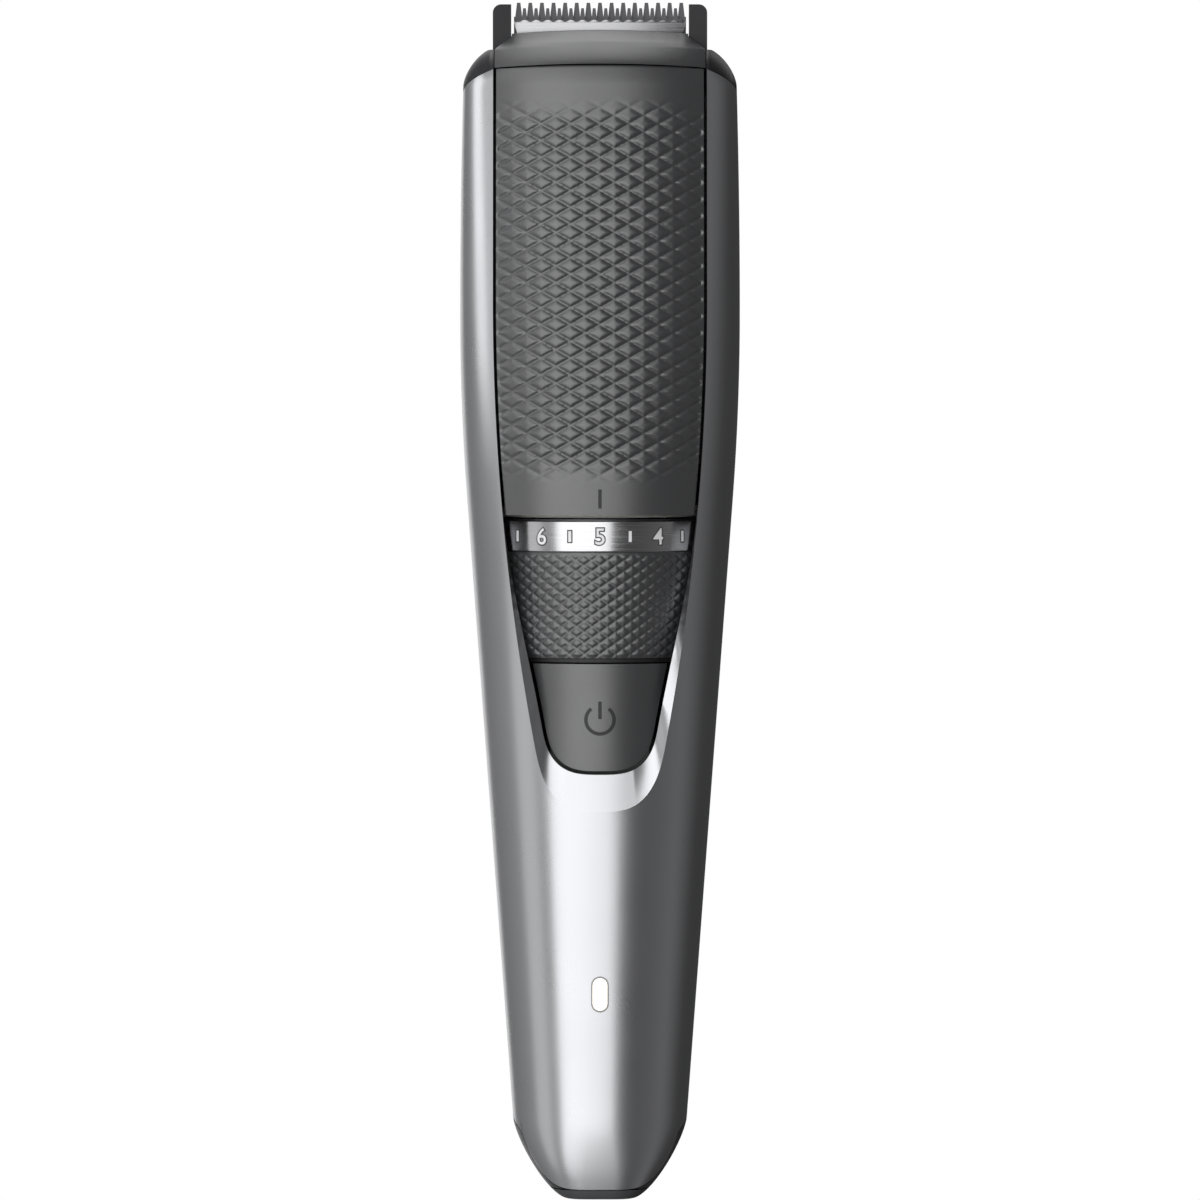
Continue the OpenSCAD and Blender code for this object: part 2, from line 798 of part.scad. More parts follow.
module guard_blade() {
    color(steel)
        difference() {
            union() {
                block([-12.3, guard_y, flange_top_z + 0.1], [12.3, guard_y + guard_t, guard_root_z]);
                teeth(guard_teeth, guard_pitch, 1, 0.5, guard_root_z - 0.1, guard_tip_z, guard_y, guard_t);
            }
            both_sides(blade_screw_x)
                translate([0, 0, blade_screw_z])
                    cross_rod(0.6, -2, 2);
        }
}

module blade_clamp() {
    color(steel)
        difference() {
            union() {
                block([-12.4, -1.5, 165], [12.4, -0.45, 167.9]);
                both_sides(blade_screw_x)
                    block([-1.6, -1.5, flange_top_z + 0.1], [1.6, -0.45, 165.1]);
            }
            both_sides(blade_screw_x)
                translate([0, 0, blade_screw_z])
                    cross_rod(0.6, -2, 2);
        }
}

module blade_spring() {
    color(steel)
        both_sides(5.6)
            block([-1.6, -1.95, flange_top_z + 0.1], [1.6, -1.55, 165.6]);
}

module blade_screws() {
    color(steel)
        both_sides(blade_screw_x)
            translate([0, 0, blade_screw_z])
                rotate([-90, 0, 0])
                    cap_screw(0.6, -1.5, guard_y + guard_t, 0.75, 0.15);
}

module cutter_blade() {
    color(steel) {
        block([-11.7, -0.4, cutter_foot_z], [11.7, guard_y - 0.05, cutter_root_z]);
        teeth(cutter_teeth, cutter_pitch, 0.8, 0.4, cutter_root_z - 0.1, cutter_tip_z, -0.4, guard_y + 0.35);
    }
}

module drive_bridge() {
    prong_in = stroke + 1 + stroke + 0.15;
    color(nylon) {
        both_sides(prong_in + 0.45)
            block([-0.45, -1.2, 155.8], [0.45, 1.2, 161]);
        block([-prong_in - 0.9, -1.2, 160.5], [prong_in + 0.9, 1.2, 162.6]);
        block([-3, -0.4, 162], [3, guard_y - 0.1, cutter_foot_z]);
    }
}

module power_button() {
    half = function (z) lip_x(z) - button_gap;
    corner_h = lip_corner_h - 0.4;
    rows = [for (u = [0.12:0.11:1]) button_foot_z + corner_h * (1 - corner_down(u, opening_power))];
    upper = [for (k = [1:4]) mix(button_foot_z + corner_h, button_top_z, k / 4)];
    color(charcoal)
        sweep_solid([for (z = concat(rows, upper))
            let (c = corner_h - (z - button_foot_z))
            let (w = half(z) * (c > 0 ? quarter(c / corner_h, opening_power) : 1))
            let (xs = [for (m = [0:10]) mix(-w, w, m / 10)])
            concat(
                [for (x = xs) [x, circle_y(x, button_r(z)), z]],
                [for (m = [10:-1:0]) [xs[m], circle_y(xs[m], button_r(z)) + button_t, z]])]);
}

module button_plunger() {
    plunger_z = (button_top_z + button_foot_z) / 2;
    color(black)
        translate([0, 0, plunger_z])
            cross_rod(2.2, -13.2, -12.05);
}

front_shell();
rear_shell();
grip_panel();
shoulder_collar();
base_cap();
led_window();
led();
circuit_board();
tact_switch();
battery_cell();
battery_tab_positive();
battery_tab_negative();
chassis();
wheel_retainer();
detent_spring();
drive_frame();
motor_can();
motor_end_cap();
motor_magnets();
motor_bearing();
motor_screws();
collar_screws();
drive_seal();
charging_socket();
socket_pin();
motor_shaft();
armature();
commutator();
eccentric();
length_wheel();
scale_ring();
cam_sleeve();
comb_carrier();
cam_follower();
head_cover();
head_base();
guard_blade();
blade_clamp();
blade_spring();
blade_screws();
cutter_blade();
drive_bridge();
power_button();
button_plunger();
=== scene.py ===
"""Looks of a cordless beard trimmer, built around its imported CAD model. Sizes are in millimetres."""
import json
import math

import bmesh
import bpy
import numpy as np
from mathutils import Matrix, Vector


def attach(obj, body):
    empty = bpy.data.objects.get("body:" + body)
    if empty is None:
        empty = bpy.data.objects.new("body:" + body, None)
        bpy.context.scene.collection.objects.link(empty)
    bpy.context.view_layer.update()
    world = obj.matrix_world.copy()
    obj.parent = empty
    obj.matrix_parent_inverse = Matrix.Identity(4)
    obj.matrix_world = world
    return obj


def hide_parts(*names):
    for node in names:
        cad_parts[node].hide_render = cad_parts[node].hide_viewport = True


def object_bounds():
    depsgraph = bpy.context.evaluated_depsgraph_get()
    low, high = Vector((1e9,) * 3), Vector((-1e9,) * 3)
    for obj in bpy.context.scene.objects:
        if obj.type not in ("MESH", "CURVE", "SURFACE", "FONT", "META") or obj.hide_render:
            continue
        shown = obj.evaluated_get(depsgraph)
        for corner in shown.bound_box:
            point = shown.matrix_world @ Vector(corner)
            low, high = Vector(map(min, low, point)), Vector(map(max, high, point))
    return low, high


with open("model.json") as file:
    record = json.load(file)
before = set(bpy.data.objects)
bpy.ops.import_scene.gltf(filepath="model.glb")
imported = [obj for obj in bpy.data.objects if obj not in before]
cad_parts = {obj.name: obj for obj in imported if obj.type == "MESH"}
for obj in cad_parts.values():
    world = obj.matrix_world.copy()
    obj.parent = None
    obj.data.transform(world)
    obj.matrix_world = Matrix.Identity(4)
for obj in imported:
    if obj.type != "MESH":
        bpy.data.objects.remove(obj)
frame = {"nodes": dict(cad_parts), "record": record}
cad_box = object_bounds()

MM = 0.001

# ---------------------------------------------------------------- body shape, as in the CAD model
GRIP_W = 40.0
GRIP_D = 37.0
WALL = 1.4
SECTION_POWER = 2.3
FOOT_POWER = 4.2
FOOT_HALF_W = 5.3
FOOT_HALF_D = 11.2
FOOT_ROUND_Z = 10.8
FOOT_ROUND_POWER = 1.45
SIDE_TAPER = 0.074
SIDE_BEND_Z = 100.0
SIDE_WIDEST_Z = 126.0
SIDE_FADE = 0.00043
DEPTH_TAPER = 0.06
DEPTH_BEND_Z = 92.0
DEPTH_WIDEST_Z = 104.0
NECK_Z = 160.0
FRONT_NECK_DROP = 6.5
REAR_NECK_DROP = 6.0
SHOULDER_ROUND_Z = 158.5
SHOULDER_ROUND_H = 5.5
SHOULDER_ROUND_POWER = 1.6
SHOULDER_IN_W = 4.5
SHOULDER_IN_D = 2.5
SHOULDER_TOP = 163.6

# Parting line between the silver front and the dark rear
PART_ANGLE = 93.0
RIM_H = 1.4
PART_BEND_Z = 7.0
PART_POWER = 3.0
RIM_ANGLE = 66.0
RIM_END_Z = 9.0
RIM_FADE_H = 3.5
PART_GAP = 0.2
ARM_TOP_OUTER_Z = 157.0
ARM_TOP_INNER_Z = 160.7

REAR_RISE_ANGLE = 44.0
TOP_TUCK = 1.1

# Opening in the front shell and the lip round the button and the wheel
OPENING_HALF_W = 15.2
OPENING_BEND_Z = 128.0
OPENING_CURVE = 0.00148
OPENING_FOOT_Z = 55.4
OPENING_CORNER_H = 10.0
OPENING_POWER = 3.2
LIP_FOOT_Z = 60.6
LIP_CORNER_H = 7.0
LIP_IN = 1.5
LIP_BACK = 1.0
LIP_PROUD = 0.7
LIP_STEP_Z = 65.0
LIP_STEP_H = 12.0
LIP_OVER_WHEEL = 0.5
LIP_UNDER = 1.2
LIP_INSET = 1.3
LIP_BACK_INSET = 1.5

# Panel, wheel and button
SEAM_SAG = 0.5
PANEL_TOP_Z = 161.2
PANEL_FOOT_Z = 97.4
PANEL_GAP = 0.45
PANEL_INSET = 0.3
PANEL_T = 1.6
WHEEL_R = 16.5
WHEEL_TOP_Z = 96.8
WHEEL_BORE_R = 14.5
RING_SEAT_R = 15.4
RING_TOP_Z = 96.6
RING_FOOT_Z = 92.2
KNURL_TOP_Z = 92.0
WHEEL_FOOT_Z = 77.1
WHEEL_FOOT_R = 15.6
BUTTON_TOP_Z = 76.3
BUTTON_FOOT_Z = 61.1
BUTTON_GAP = 0.5
BUTTON_T = 1.6
BUTTON_TOP_R = 15.45
BUTTON_LEAN = 0.055
LED_Z = 29.4
PORT_R = 3.2
PORT_DEPTH = 2.5
SOCKET_R = 4.5

# Cutter head
COVER_HALF_W = 15.0
COVER_TOP_HALF_W = 12.6
COVER_FOOT_Z = 160.9
COVER_BEND_Z = 163.6
COVER_TOP_Z = 166.2
COVER_DEPTH = 11.4
ARM_HALF_Y = 2.0


def mix(a, b, t):
    return a + (b - a) * t


def smooth(t):
    c = np.clip(t, 0, 1)
    return c * c * (3 - 2 * c)


def quarter(t, power):
    return np.maximum(0, 1 - np.clip(t, 0, 1) ** power) ** (1 / power)


def side_narrowing(z):
    bend = SIDE_WIDEST_Z - SIDE_BEND_Z
    low = SIDE_TAPER * ((SIDE_BEND_Z - z) + bend / 2)
    middle = SIDE_TAPER * (SIDE_WIDEST_Z - z) ** 2 / (2 * bend)
    high = SIDE_FADE * (z - SIDE_WIDEST_Z) ** 2
    return np.where(z < SIDE_BEND_Z, low, np.where(z < SIDE_WIDEST_Z, middle, high))


def depth_narrowing(z):
    bend = DEPTH_WIDEST_Z - DEPTH_BEND_Z
    low = DEPTH_TAPER * ((DEPTH_BEND_Z - z) + bend / 2)
    middle = DEPTH_TAPER * (DEPTH_WIDEST_Z - z) ** 2 / (2 * bend)
    return np.where(z < DEPTH_BEND_Z, low, np.where(z < DEPTH_WIDEST_Z, middle, 0))


def foot_round(z):
    return quarter((FOOT_ROUND_Z - z) / FOOT_ROUND_Z, FOOT_ROUND_POWER)


def top_round(z):
    return 1 - quarter((z - SHOULDER_ROUND_Z) / SHOULDER_ROUND_H, SHOULDER_ROUND_POWER)


def half_w(z):
    z = np.asarray(z, float)
    return mix(FOOT_HALF_W, GRIP_W / 2 - side_narrowing(z), foot_round(z)) - SHOULDER_IN_W * top_round(z)


def half_d(z, drop, power):
    z = np.asarray(z, float)
    neck = np.maximum(0, (z - DEPTH_WIDEST_Z) / (NECK_Z - DEPTH_WIDEST_Z)) ** power
    body = mix(FOOT_HALF_D, GRIP_D / 2 - depth_narrowing(z), foot_round(z))
    return body - drop * neck - SHOULDER_IN_D * top_round(z)


def front_d(z):
    return half_d(z, FRONT_NECK_DROP, 1.4)


def rear_d(z):
    return half_d(z, REAR_NECK_DROP, 2)


def signed_pow(v, power):
    return np.sign(v) * np.abs(v) ** power


def power_at(z):
    """Power of the section's curve, which is boxier at the foot."""
    return mix(FOOT_POWER, SECTION_POWER, foot_round(z))


def skin(angle, z, inset=0.0):
    """Points of the body's surface at angle (degrees) from the front centre line, set in by inset."""
    angle, z = np.broadcast_arrays(np.asarray(angle, float), np.asarray(z, float))
    c = np.cos(np.radians(angle))
    s = np.sin(np.radians(angle))
    depth = np.where(c > 0, front_d(z), rear_d(z))
    x = (half_w(z) - inset) * signed_pow(s, 2 / power_at(z))
    y = -(depth - inset) * signed_pow(c, 2 / power_at(z))
    return np.stack([x, y, z], -1)


def skin_y(x, z, inset=0.0):
    return -(front_d(z) - inset) * quarter(np.abs(x) / (half_w(z) - inset), power_at(z))


def skin_angle(x, z):
    return np.degrees(np.arcsin(np.minimum(1, (np.abs(x) / half_w(z)) ** (power_at(z) / 2))))


def corner_in(u, power):
    return np.sin(np.radians(90 * np.minimum(1, u))) ** (2 / power)


def corner_down(u, power):
    return np.maximum(0, np.cos(np.radians(90 * np.minimum(1, u)))) ** (2 / power)


def edge_z(u, foot, corner_h, top, power):
    return mix(foot + corner_h * (1 - corner_down(u, power)), top, np.maximum(0, u - 1))


def opening_x(z):
    return OPENING_HALF_W - OPENING_CURVE * np.maximum(0, OPENING_BEND_Z - z) ** 2


def lip_x(z):
    return opening_x(z) - mix(0.1, LIP_IN, smooth((PANEL_FOOT_Z - z) / 30))


def button_r(z):
    return BUTTON_TOP_R - BUTTON_LEAN * (BUTTON_TOP_Z - z)


def circle_y(x, r):
    return -np.sqrt(np.maximum(0.01, r * r - x * x))


def shell_top(angle):
    """Height of the shells' top edge, which dips towards the parting line."""
    front_start = float(skin_angle(OPENING_HALF_W, ARM_TOP_INNER_Z))
    front = (PART_ANGLE - angle) / (PART_ANGLE - front_start)
    rear = (angle - PART_ANGLE) / REAR_RISE_ANGLE
    return mix(ARM_TOP_OUTER_Z, ARM_TOP_INNER_Z, np.clip(np.where(angle < PART_ANGLE, front, rear), 0, 1))


def part_limit(z):
    return mix(RIM_ANGLE, PART_ANGLE, smooth((z - RIM_END_Z) / RIM_FADE_H))


def part_angle_at(z):
    c = np.clip((PART_BEND_Z - z) / (PART_BEND_Z - RIM_H), 0, 1) ** (PART_POWER / 2)
    return part_limit(z) * np.sqrt(1 - c * c) ** (2 / PART_POWER)


# ---------------------------------------------------------------- mesh helpers
def new_object(name, verts, faces):
    """A mesh object from points in millimetres."""
    mesh = bpy.data.meshes.new(name)
    mesh.from_pydata([tuple(float(c) * MM for c in v) for v in verts], [], faces)
    mesh.validate()
    obj = bpy.data.objects.new(name, mesh)
    bpy.context.scene.collection.objects.link(obj)
    return obj


def orient_outward(obj):
    """Turns all faces outward."""
    bm = bmesh.new()
    bm.from_mesh(obj.data)
    bmesh.ops.recalc_face_normals(bm, faces=bm.faces)
    bm.to_mesh(obj.data)
    bm.free()


def finish_mesh(obj, sharp=35.0, bevel=0.0, segments=2):
    """Outward faces, smooth shading with creases at sharp edges, and softened edges."""
    orient_outward(obj)
    for polygon in obj.data.polygons:
        polygon.use_smooth = True
    obj.data.set_sharp_from_angle(angle=math.radians(sharp))
    if bevel:
        add_bevel(obj, bevel, segments, sharp)
    return obj


def add_bevel(obj, width, segments=2, angle=35.0):
    modifier = obj.modifiers.new("edges", "BEVEL")
    modifier.width = width * MM
    modifier.segments = segments
    modifier.limit_method = "ANGLE"
    modifier.angle_limit = math.radians(angle)
    modifier.harden_normals = True


def loft(name, rings, caps=True):
    """A skin through rings of equal length. Caps are strips between points k and n - 1 - k."""
    rings = [np.asarray(r, float) for r in rings]
    n = len(rings[0])
    faces = []
    for r in range(len(rings) - 1):
        for k in range(n):
            j = (k + 1) % n
            faces.append((r * n + k, r * n + j, (r + 1) * n + j, (r + 1) * n + k))
    if caps:
        for base in (0, (len(rings) - 1) * n):
            for k in range(n // 2 - 1):
                faces.append((base + k, base + k + 1, base + n - 2 - k, base + n - 1 - k))
    return new_object(name, np.concatenate(rings), faces)


def cut(obj, *cutters):
    """Takes the cutters out of the object and deletes them."""
    for cutter in cutters:
        orient_outward(cutter)
        modifier = obj.modifiers.new("cut", "BOOLEAN")
        modifier.operation = "DIFFERENCE"
        modifier.solver = "EXACT"
        modifier.object = cutter
    bpy.context.view_layer.update()
    evaluated = obj.evaluated_get(bpy.context.evaluated_depsgraph_get())
    mesh = bpy.data.meshes.new_from_object(evaluated)
    obj.modifiers.clear()
    obj.data = mesh
    for cutter in cutters:
        bpy.data.objects.remove(cutter)
    return obj


def block(name, lo, hi):
    xs, ys, zs = zip(lo, hi)
    corners = [(xs[i], ys[j], zs[k]) for k in (0, 1) for j in (0, 1) for i in (0, 1)]
    faces = [(0, 2, 3, 1), (4, 5, 7, 6), (0, 1, 5, 4), (2, 6, 7, 3), (0, 4, 6, 2), (1, 3, 7, 5)]
    return new_object(name, corners, faces)


def stadium_outline(half_x, half_z, n=12):
    """Outline of an upright slot with round ends, in x and z."""
    straight = half_z - half_x
    angles = [math.pi * k / n for k in range(n + 1)]
    top = [(half_x * math.cos(a), straight + half_x * math.sin(a)) for a in angles]
    foot = [(-x, -z) for x, z in top]
    return top + foot


def place(obj, body, slot, *nodes):
    """Names what the piece rides on and the CAD nodes it stands for, which it hides. The slot argument is
    not used.
    """
    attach(obj, body)
    if nodes:
        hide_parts(*nodes)
    return obj


# ---------------------------------------------------------------- materials
class Shader:
    """A material with a Principled shader, and short ways to add nodes to it."""

    def __init__(self, name, colour, roughness, metallic=0.0, **settings):
        self.material = bpy.data.materials.new(name)
        self.material.use_nodes = True
        self.tree = self.material.node_tree
        self.bsdf = self.tree.nodes["Principled BSDF"]
        self.set("Base Color", (*colour, 1))
        self.set("Roughness", roughness)
        self.set("Metallic", metallic)
        for key, value in settings.items():
            self.set(key.replace("_", " "), value)
        self.coords = self.add("ShaderNodeTexCoord").outputs["Object"]

    def set(self, socket, value):
        self.bsdf.inputs[socket].default_value = value

    def add(self, kind, **inputs):
        node = self.tree.nodes.new(kind)
        for key, value in inputs.items():
            node.inputs[key.replace("_", " ")].default_value = value
        return node

    def link(self, a, b):
        self.tree.links.new(a, b)

    def scaled(self, scale):
        mapping = self.add("ShaderNodeMapping", Scale=scale)
        self.link(self.coords, mapping.inputs["Vector"])
        return mapping.outputs["Vector"]

    def noise(self, scale, detail=2.0, stretch=(1, 1, 1)):
        """Noise with scale features per metre."""
        node = self.add("ShaderNodeTexNoise", Scale=scale, Detail=detail)
        self.link(self.scaled(stretch), node.inputs["Vector"])
        return node.outputs["Fac"]

    def ramp(self, value, low, high):
        node = self.add("ShaderNodeMapRange", From_Min=0.3, From_Max=0.7, To_Min=low, To_Max=high)
        self.link(value, node.inputs["Value"])
        return node.outputs["Result"]

    def vary_colour(self, value, dark, light):
        node = self.add("ShaderNodeMix")
        node.data_type = "RGBA"
        colour_inputs = [i for i in node.inputs if i.type == "RGBA"]
        colour_inputs[0].default_value = (*dark, 1)
        colour_inputs[1].default_value = (*light, 1)
        self.link(value, node.inputs["Factor"])
        self.link([o for o in node.outputs if o.type == "RGBA"][0], self.bsdf.inputs["Base Color"])

    def vary_roughness(self, value, low, high):
        self.link(self.ramp(value, low, high), self.bsdf.inputs["Roughness"])

    def bump(self, value, height):
        node = self.add("ShaderNodeBump", Distance=height * MM, Strength=1.0)
        self.link(value, node.inputs["Height"])
        self.link(node.outputs["Normal"], self.bsdf.inputs["Normal"])


def moulded(name, colour, roughness, grain=9000, height=0.012, spread=0.25, specular=0.5, ior=1.5):
    """Moulded plastic: fine spark texture, with slightly uneven colour and gloss."""
    shader = Shader(name, colour, roughness, Specular_IOR_Level=specular, IOR=ior)
    fine = shader.noise(grain, 3)
    broad = shader.noise(60, 2)
    dark = tuple(c * (1 - spread * 0.5) for c in colour)
    light = tuple(c * (1 + spread * 0.5) for c in colour)
    shader.vary_colour(shader.ramp(fine, 0, 1), dark, light)
    shader.vary_roughness(broad, roughness - 0.04, roughness + 0.04)
    shader.bump(fine, height)
    return shader.material


def lacquer(name, colour, roughness):
    """Silver lacquer: metal flakes that vary in tone and tilt, under a thin clear coat."""
    shader = Shader(name, colour, roughness, 0.95, Coat_Weight=0.15, Coat_Roughness=0.2)
    flakes = shader.noise(14000, 1)
    dark = tuple(c * 0.98 for c in colour)
    light = tuple(c * 1.02 for c in colour)
    shader.vary_colour(shader.ramp(flakes, 0, 1), dark, light)
    shader.vary_roughness(shader.noise(90, 2), roughness - 0.012, roughness + 0.012)
    shader.bump(flakes, 0.0002)
    return shader.material


def brushed(name, colour, roughness, along=(1, 1, 40), height=0.004):
    """Metal with fine parallel scratches. A big number in along packs the lines across that axis."""
    shader = Shader(name, colour, roughness, 1.0)
    lines = shader.noise(700, 4, along)
    dark = tuple(c * 0.85 for c in colour)
    light = tuple(min(1, c * 1.1) for c in colour)
    shader.vary_colour(shader.ramp(lines, 0, 1), dark, light)
    shader.vary_roughness(lines, roughness - 0.06, roughness + 0.08)
    shader.bump(lines, height)
    return shader.material


def glowing(name, colour, strength):
    """A lit light guide with a faint mottling."""
    shader = Shader(name, colour, 0.25, Emission_Strength=strength, Coat_Weight=0.3)
    mottle = shader.ramp(shader.noise(1500, 2), 0.85, 1.0)
    node = shader.add("ShaderNodeMix")
    node.data_type = "RGBA"
    colour_inputs = [i for i in node.inputs if i.type == "RGBA"]
    colour_inputs[0].default_value = (colour[0] * 0.8, colour[1] * 0.7, colour[2] * 0.55, 1)
    colour_inputs[1].default_value = (*colour, 1)
    shader.link(mottle, node.inputs["Factor"])
    shader.link([o for o in node.outputs if o.type == "RGBA"][0], shader.bsdf.inputs["Emission Color"])
    return shader.material


SILVER = lacquer("silver_lacquer", (0.47, 0.475, 0.49), 0.28)
DARK = moulded("charcoal_shell", (0.05, 0.051, 0.054), 0.42)
GRIP = moulded("charcoal_grip", (0.033, 0.034, 0.036), 0.38, specular=1.0, ior=1.6)
COVER = moulded("charcoal_cover", (0.038, 0.039, 0.041), 0.42, specular=0.8)
KNURL = moulded("charcoal_knurl", (0.03, 0.031, 0.033), 0.38, specular=1.0, ior=1.6)
DARK_NYLON = moulded("dark_nylon", (0.02, 0.02, 0.021), 0.5)
BLACK = moulded("black_plastic", (0.012, 0.012, 0.014), 0.42, specular=0.3)
MARK = moulded("mark_black", (0.012, 0.012, 0.013), 0.5)
RING = brushed("satin_ring", (0.5, 0.5, 0.51), 0.2, (0.2, 0.2, 30), 0.0005)
DIGIT = moulded("digit_print", (0.85, 0.85, 0.86), 0.5, spread=0.05)
# Dark rim under each scale digit and tick: painted shadow
DIGIT_PAINTED_SHADOW = moulded("digit_painted_shadow", (0.06, 0.06, 0.062), 0.5, spread=0.05)
BLADE = brushed("ground_steel", (0.36, 0.36, 0.37), 0.27, (0.15, 1, 25), 0.0004)
# Darker copy of the blade steel for the guard and cutter blades: painted shade
STEEL_PAINTED_SHADE = brushed("steel_painted_shade", (0.09, 0.09, 0.095), 0.45, (0.15, 1, 25), 0.001)
ZINC = brushed("zinc_steel", (0.5, 0.5, 0.52), 0.35, (1, 1, 12))
LIGHT = glowing("lit_window", (1.0, 0.93, 0.78), 1.6)
NYLON = moulded("nylon", (0.72, 0.71, 0.66), 0.5, spread=0.06)
BRASS = brushed("brass", (0.72, 0.53, 0.25), 0.3, (1, 1, 12))
BOARD = moulded("solder_mask", (0.012, 0.03, 0.018), 0.35, 3000, 0.01)
CELL = moulded("cell_wrap", (0.05, 0.14, 0.34), 0.25, 3000, 0.006)
MAGNET = moulded("ferrite", (0.06, 0.06, 0.062), 0.6)
RUBBER = moulded("silicone", (0.02, 0.02, 0.021), 0.65)
EDGE = moulded("window_edge", (0.3, 0.3, 0.3), 0.4)

SLOT_MATERIALS = {
    "silver_shell": SILVER, "dark_shell": DARK, "grip": GRIP, "black_plastic": BLACK, "satin_ring": RING,
    "blade_steel": BLADE, "plain_steel": ZINC, "light_window": LIGHT, "nylon": NYLON, "brass": BRASS,
    "board": BOARD, "cell": CELL, "magnet": MAGNET, "rubber": RUBBER}
# The guard and cutter blades take the darker steel, which is painted shade
NODE_MATERIALS = {
    "guard_blade": STEEL_PAINTED_SHADE, "cutter_blade": STEEL_PAINTED_SHADE, "chassis": DARK_NYLON, "cam_sleeve": DARK_NYLON}
BEVELLED_NODES = {
    "comb_carrier": 0.7, "guard_blade": 0.06, "cutter_blade": 0.06, "blade_clamp": 0.15, "head_base": 0.2}


def paint(obj, material):
    obj.data.materials.clear()
    obj.data.materials.append(material)
    return obj


def paint_cad_nodes():
    """Gives every CAD node its slot's material or a listed one, and the listed nodes softened edges."""
    for part in frame["record"]["subparts"]:
        obj = frame["nodes"][part["node"]]
        material = NODE_MATERIALS.get(part["node"], SLOT_MATERIALS[part["material_slot"]])
        for k in range(len(obj.material_slots)):
            obj.material_slots[k].material = material
    for node, width in BEVELLED_NODES.items():
        add_bevel(frame["nodes"][node], width, 4, 30)


# ---------------------------------------------------------------- shells
SHELL_COLUMNS = 44
BEVEL_COLUMNS = 6


def shell_ring(u, side):
    """One ring of the front shell: outer skin, bevel down to the lip, and the inner skin back."""
    outer_z = edge_z(u, RIM_H, PART_BEND_Z - RIM_H, ARM_TOP_OUTER_Z, PART_POWER)
    outer_angle = part_limit(outer_z) * corner_in(u, PART_POWER)
    hole_z = edge_z(u, OPENING_FOOT_Z, OPENING_CORNER_H, ARM_TOP_INNER_Z, OPENING_POWER)
    hole_x = opening_x(hole_z) * corner_in(u, OPENING_POWER)
    tuck = TOP_TUCK if u == 2 else 0
    lip_z = edge_z(u, LIP_FOOT_Z, LIP_CORNER_H, ARM_TOP_INNER_Z, OPENING_POWER) - tuck
    lip_half = lip_x(lip_z) * corner_in(u, OPENING_POWER)
    out_x = math.sin(math.radians(90 * min(1, u)))
    out_z = math.cos(math.radians(90 * min(1, u)))
    steps = np.linspace(0, 1, SHELL_COLUMNS + 1)
    outside = skin(mix(outer_angle, skin_angle(hole_x, hole_z), steps), mix(outer_z, hole_z, steps))
    depth_step = smooth((lip_z - LIP_STEP_Z) / LIP_STEP_H)
    lip_r = mix(button_r(lip_z) + LIP_PROUD, WHEEL_R + LIP_OVER_WHEEL, depth_step)
    lip = bevel_point(lip_half, lip_z, lip_r, LIP_INSET)
    back_z = lip_z - LIP_BACK * out_z
    back_step = smooth((back_z - LIP_STEP_Z) / LIP_STEP_H)
    back_r = mix(button_r(back_z) - LIP_UNDER, WHEEL_R + LIP_OVER_WHEEL, back_step)
    back = bevel_point(lip_half + LIP_BACK * out_x, back_z, back_r, LIP_BACK_INSET)
    bevel = [mix(outside[-1], lip, k / BEVEL_COLUMNS) for k in range(1, BEVEL_COLUMNS + 1)]
    under_x = hole_x + LIP_UNDER * out_x
    under_z = hole_z - LIP_UNDER * out_z - tuck
    back_steps = np.linspace(1, 0, SHELL_COLUMNS + 1)
    inside = skin(mix(outer_angle, skin_angle(under_x, under_z), back_steps),
                  mix(outer_z, under_z, back_steps), WALL)
    ring = np.concatenate([outside, bevel, [back], inside])
    ring[:, 0] *= side
    return ring


def bevel_point(x, z, radius, inset):
    """A point of the lip, behind both the skin and the wheel's or button's own radius."""
    y = skin_y(x, z) + inset
    if z < PANEL_FOOT_Z + 0.5:
        y = max(y, circle_y(x, radius))
    return np.array([float(x), float(y), float(z)])


def front_shell():
    high = list(np.linspace(2, 1.06, 130, endpoint=False)) + list(np.linspace(1.06, 1, 24, endpoint=False))
    low = list(np.linspace(1, 0, 60, endpoint=False))
    right = [shell_ring(u, 1) for u in high + low]
    left = [shell_ring(u, -1) for u in reversed(high + low)]
    shell = odd_loft("front_shell_skin", right + [shell_ring(0.0, 1)] + left)
    finish_mesh(shell, 32)
    crease(shell, len(right) * 2 + 1, (SHELL_COLUMNS, SHELL_COLUMNS + BEVEL_COLUMNS))
    paint(shell, SILVER)
    place(shell, "handle", "silver_shell", "front_shell")


def crease(obj, ring_count, columns):
    """Marks the lines that run through the given columns of all rings as sharp."""
    n = len(obj.data.vertices) // ring_count
    for edge in obj.data.edges:
        a, b = edge.vertices
        if a % n == b % n and a % n in columns:
            edge.use_edge_sharp = True


def odd_loft(name, rings):
    """A loft whose rings have any number of points, with plain polygons over its two ends."""
    n = len(rings[0])
    obj = loft(name, rings, caps=False)
    mesh = obj.data
    verts = [v.co / MM for v in mesh.vertices]
    faces = [tuple(p.vertices) for p in mesh.polygons]
    last = (len(rings) - 1) * n
    faces.append(tuple(range(n)))
    faces.append(tuple(last + k for k in reversed(range(n))))
    bpy.data.objects.remove(obj)
    return new_object(name, verts, faces)


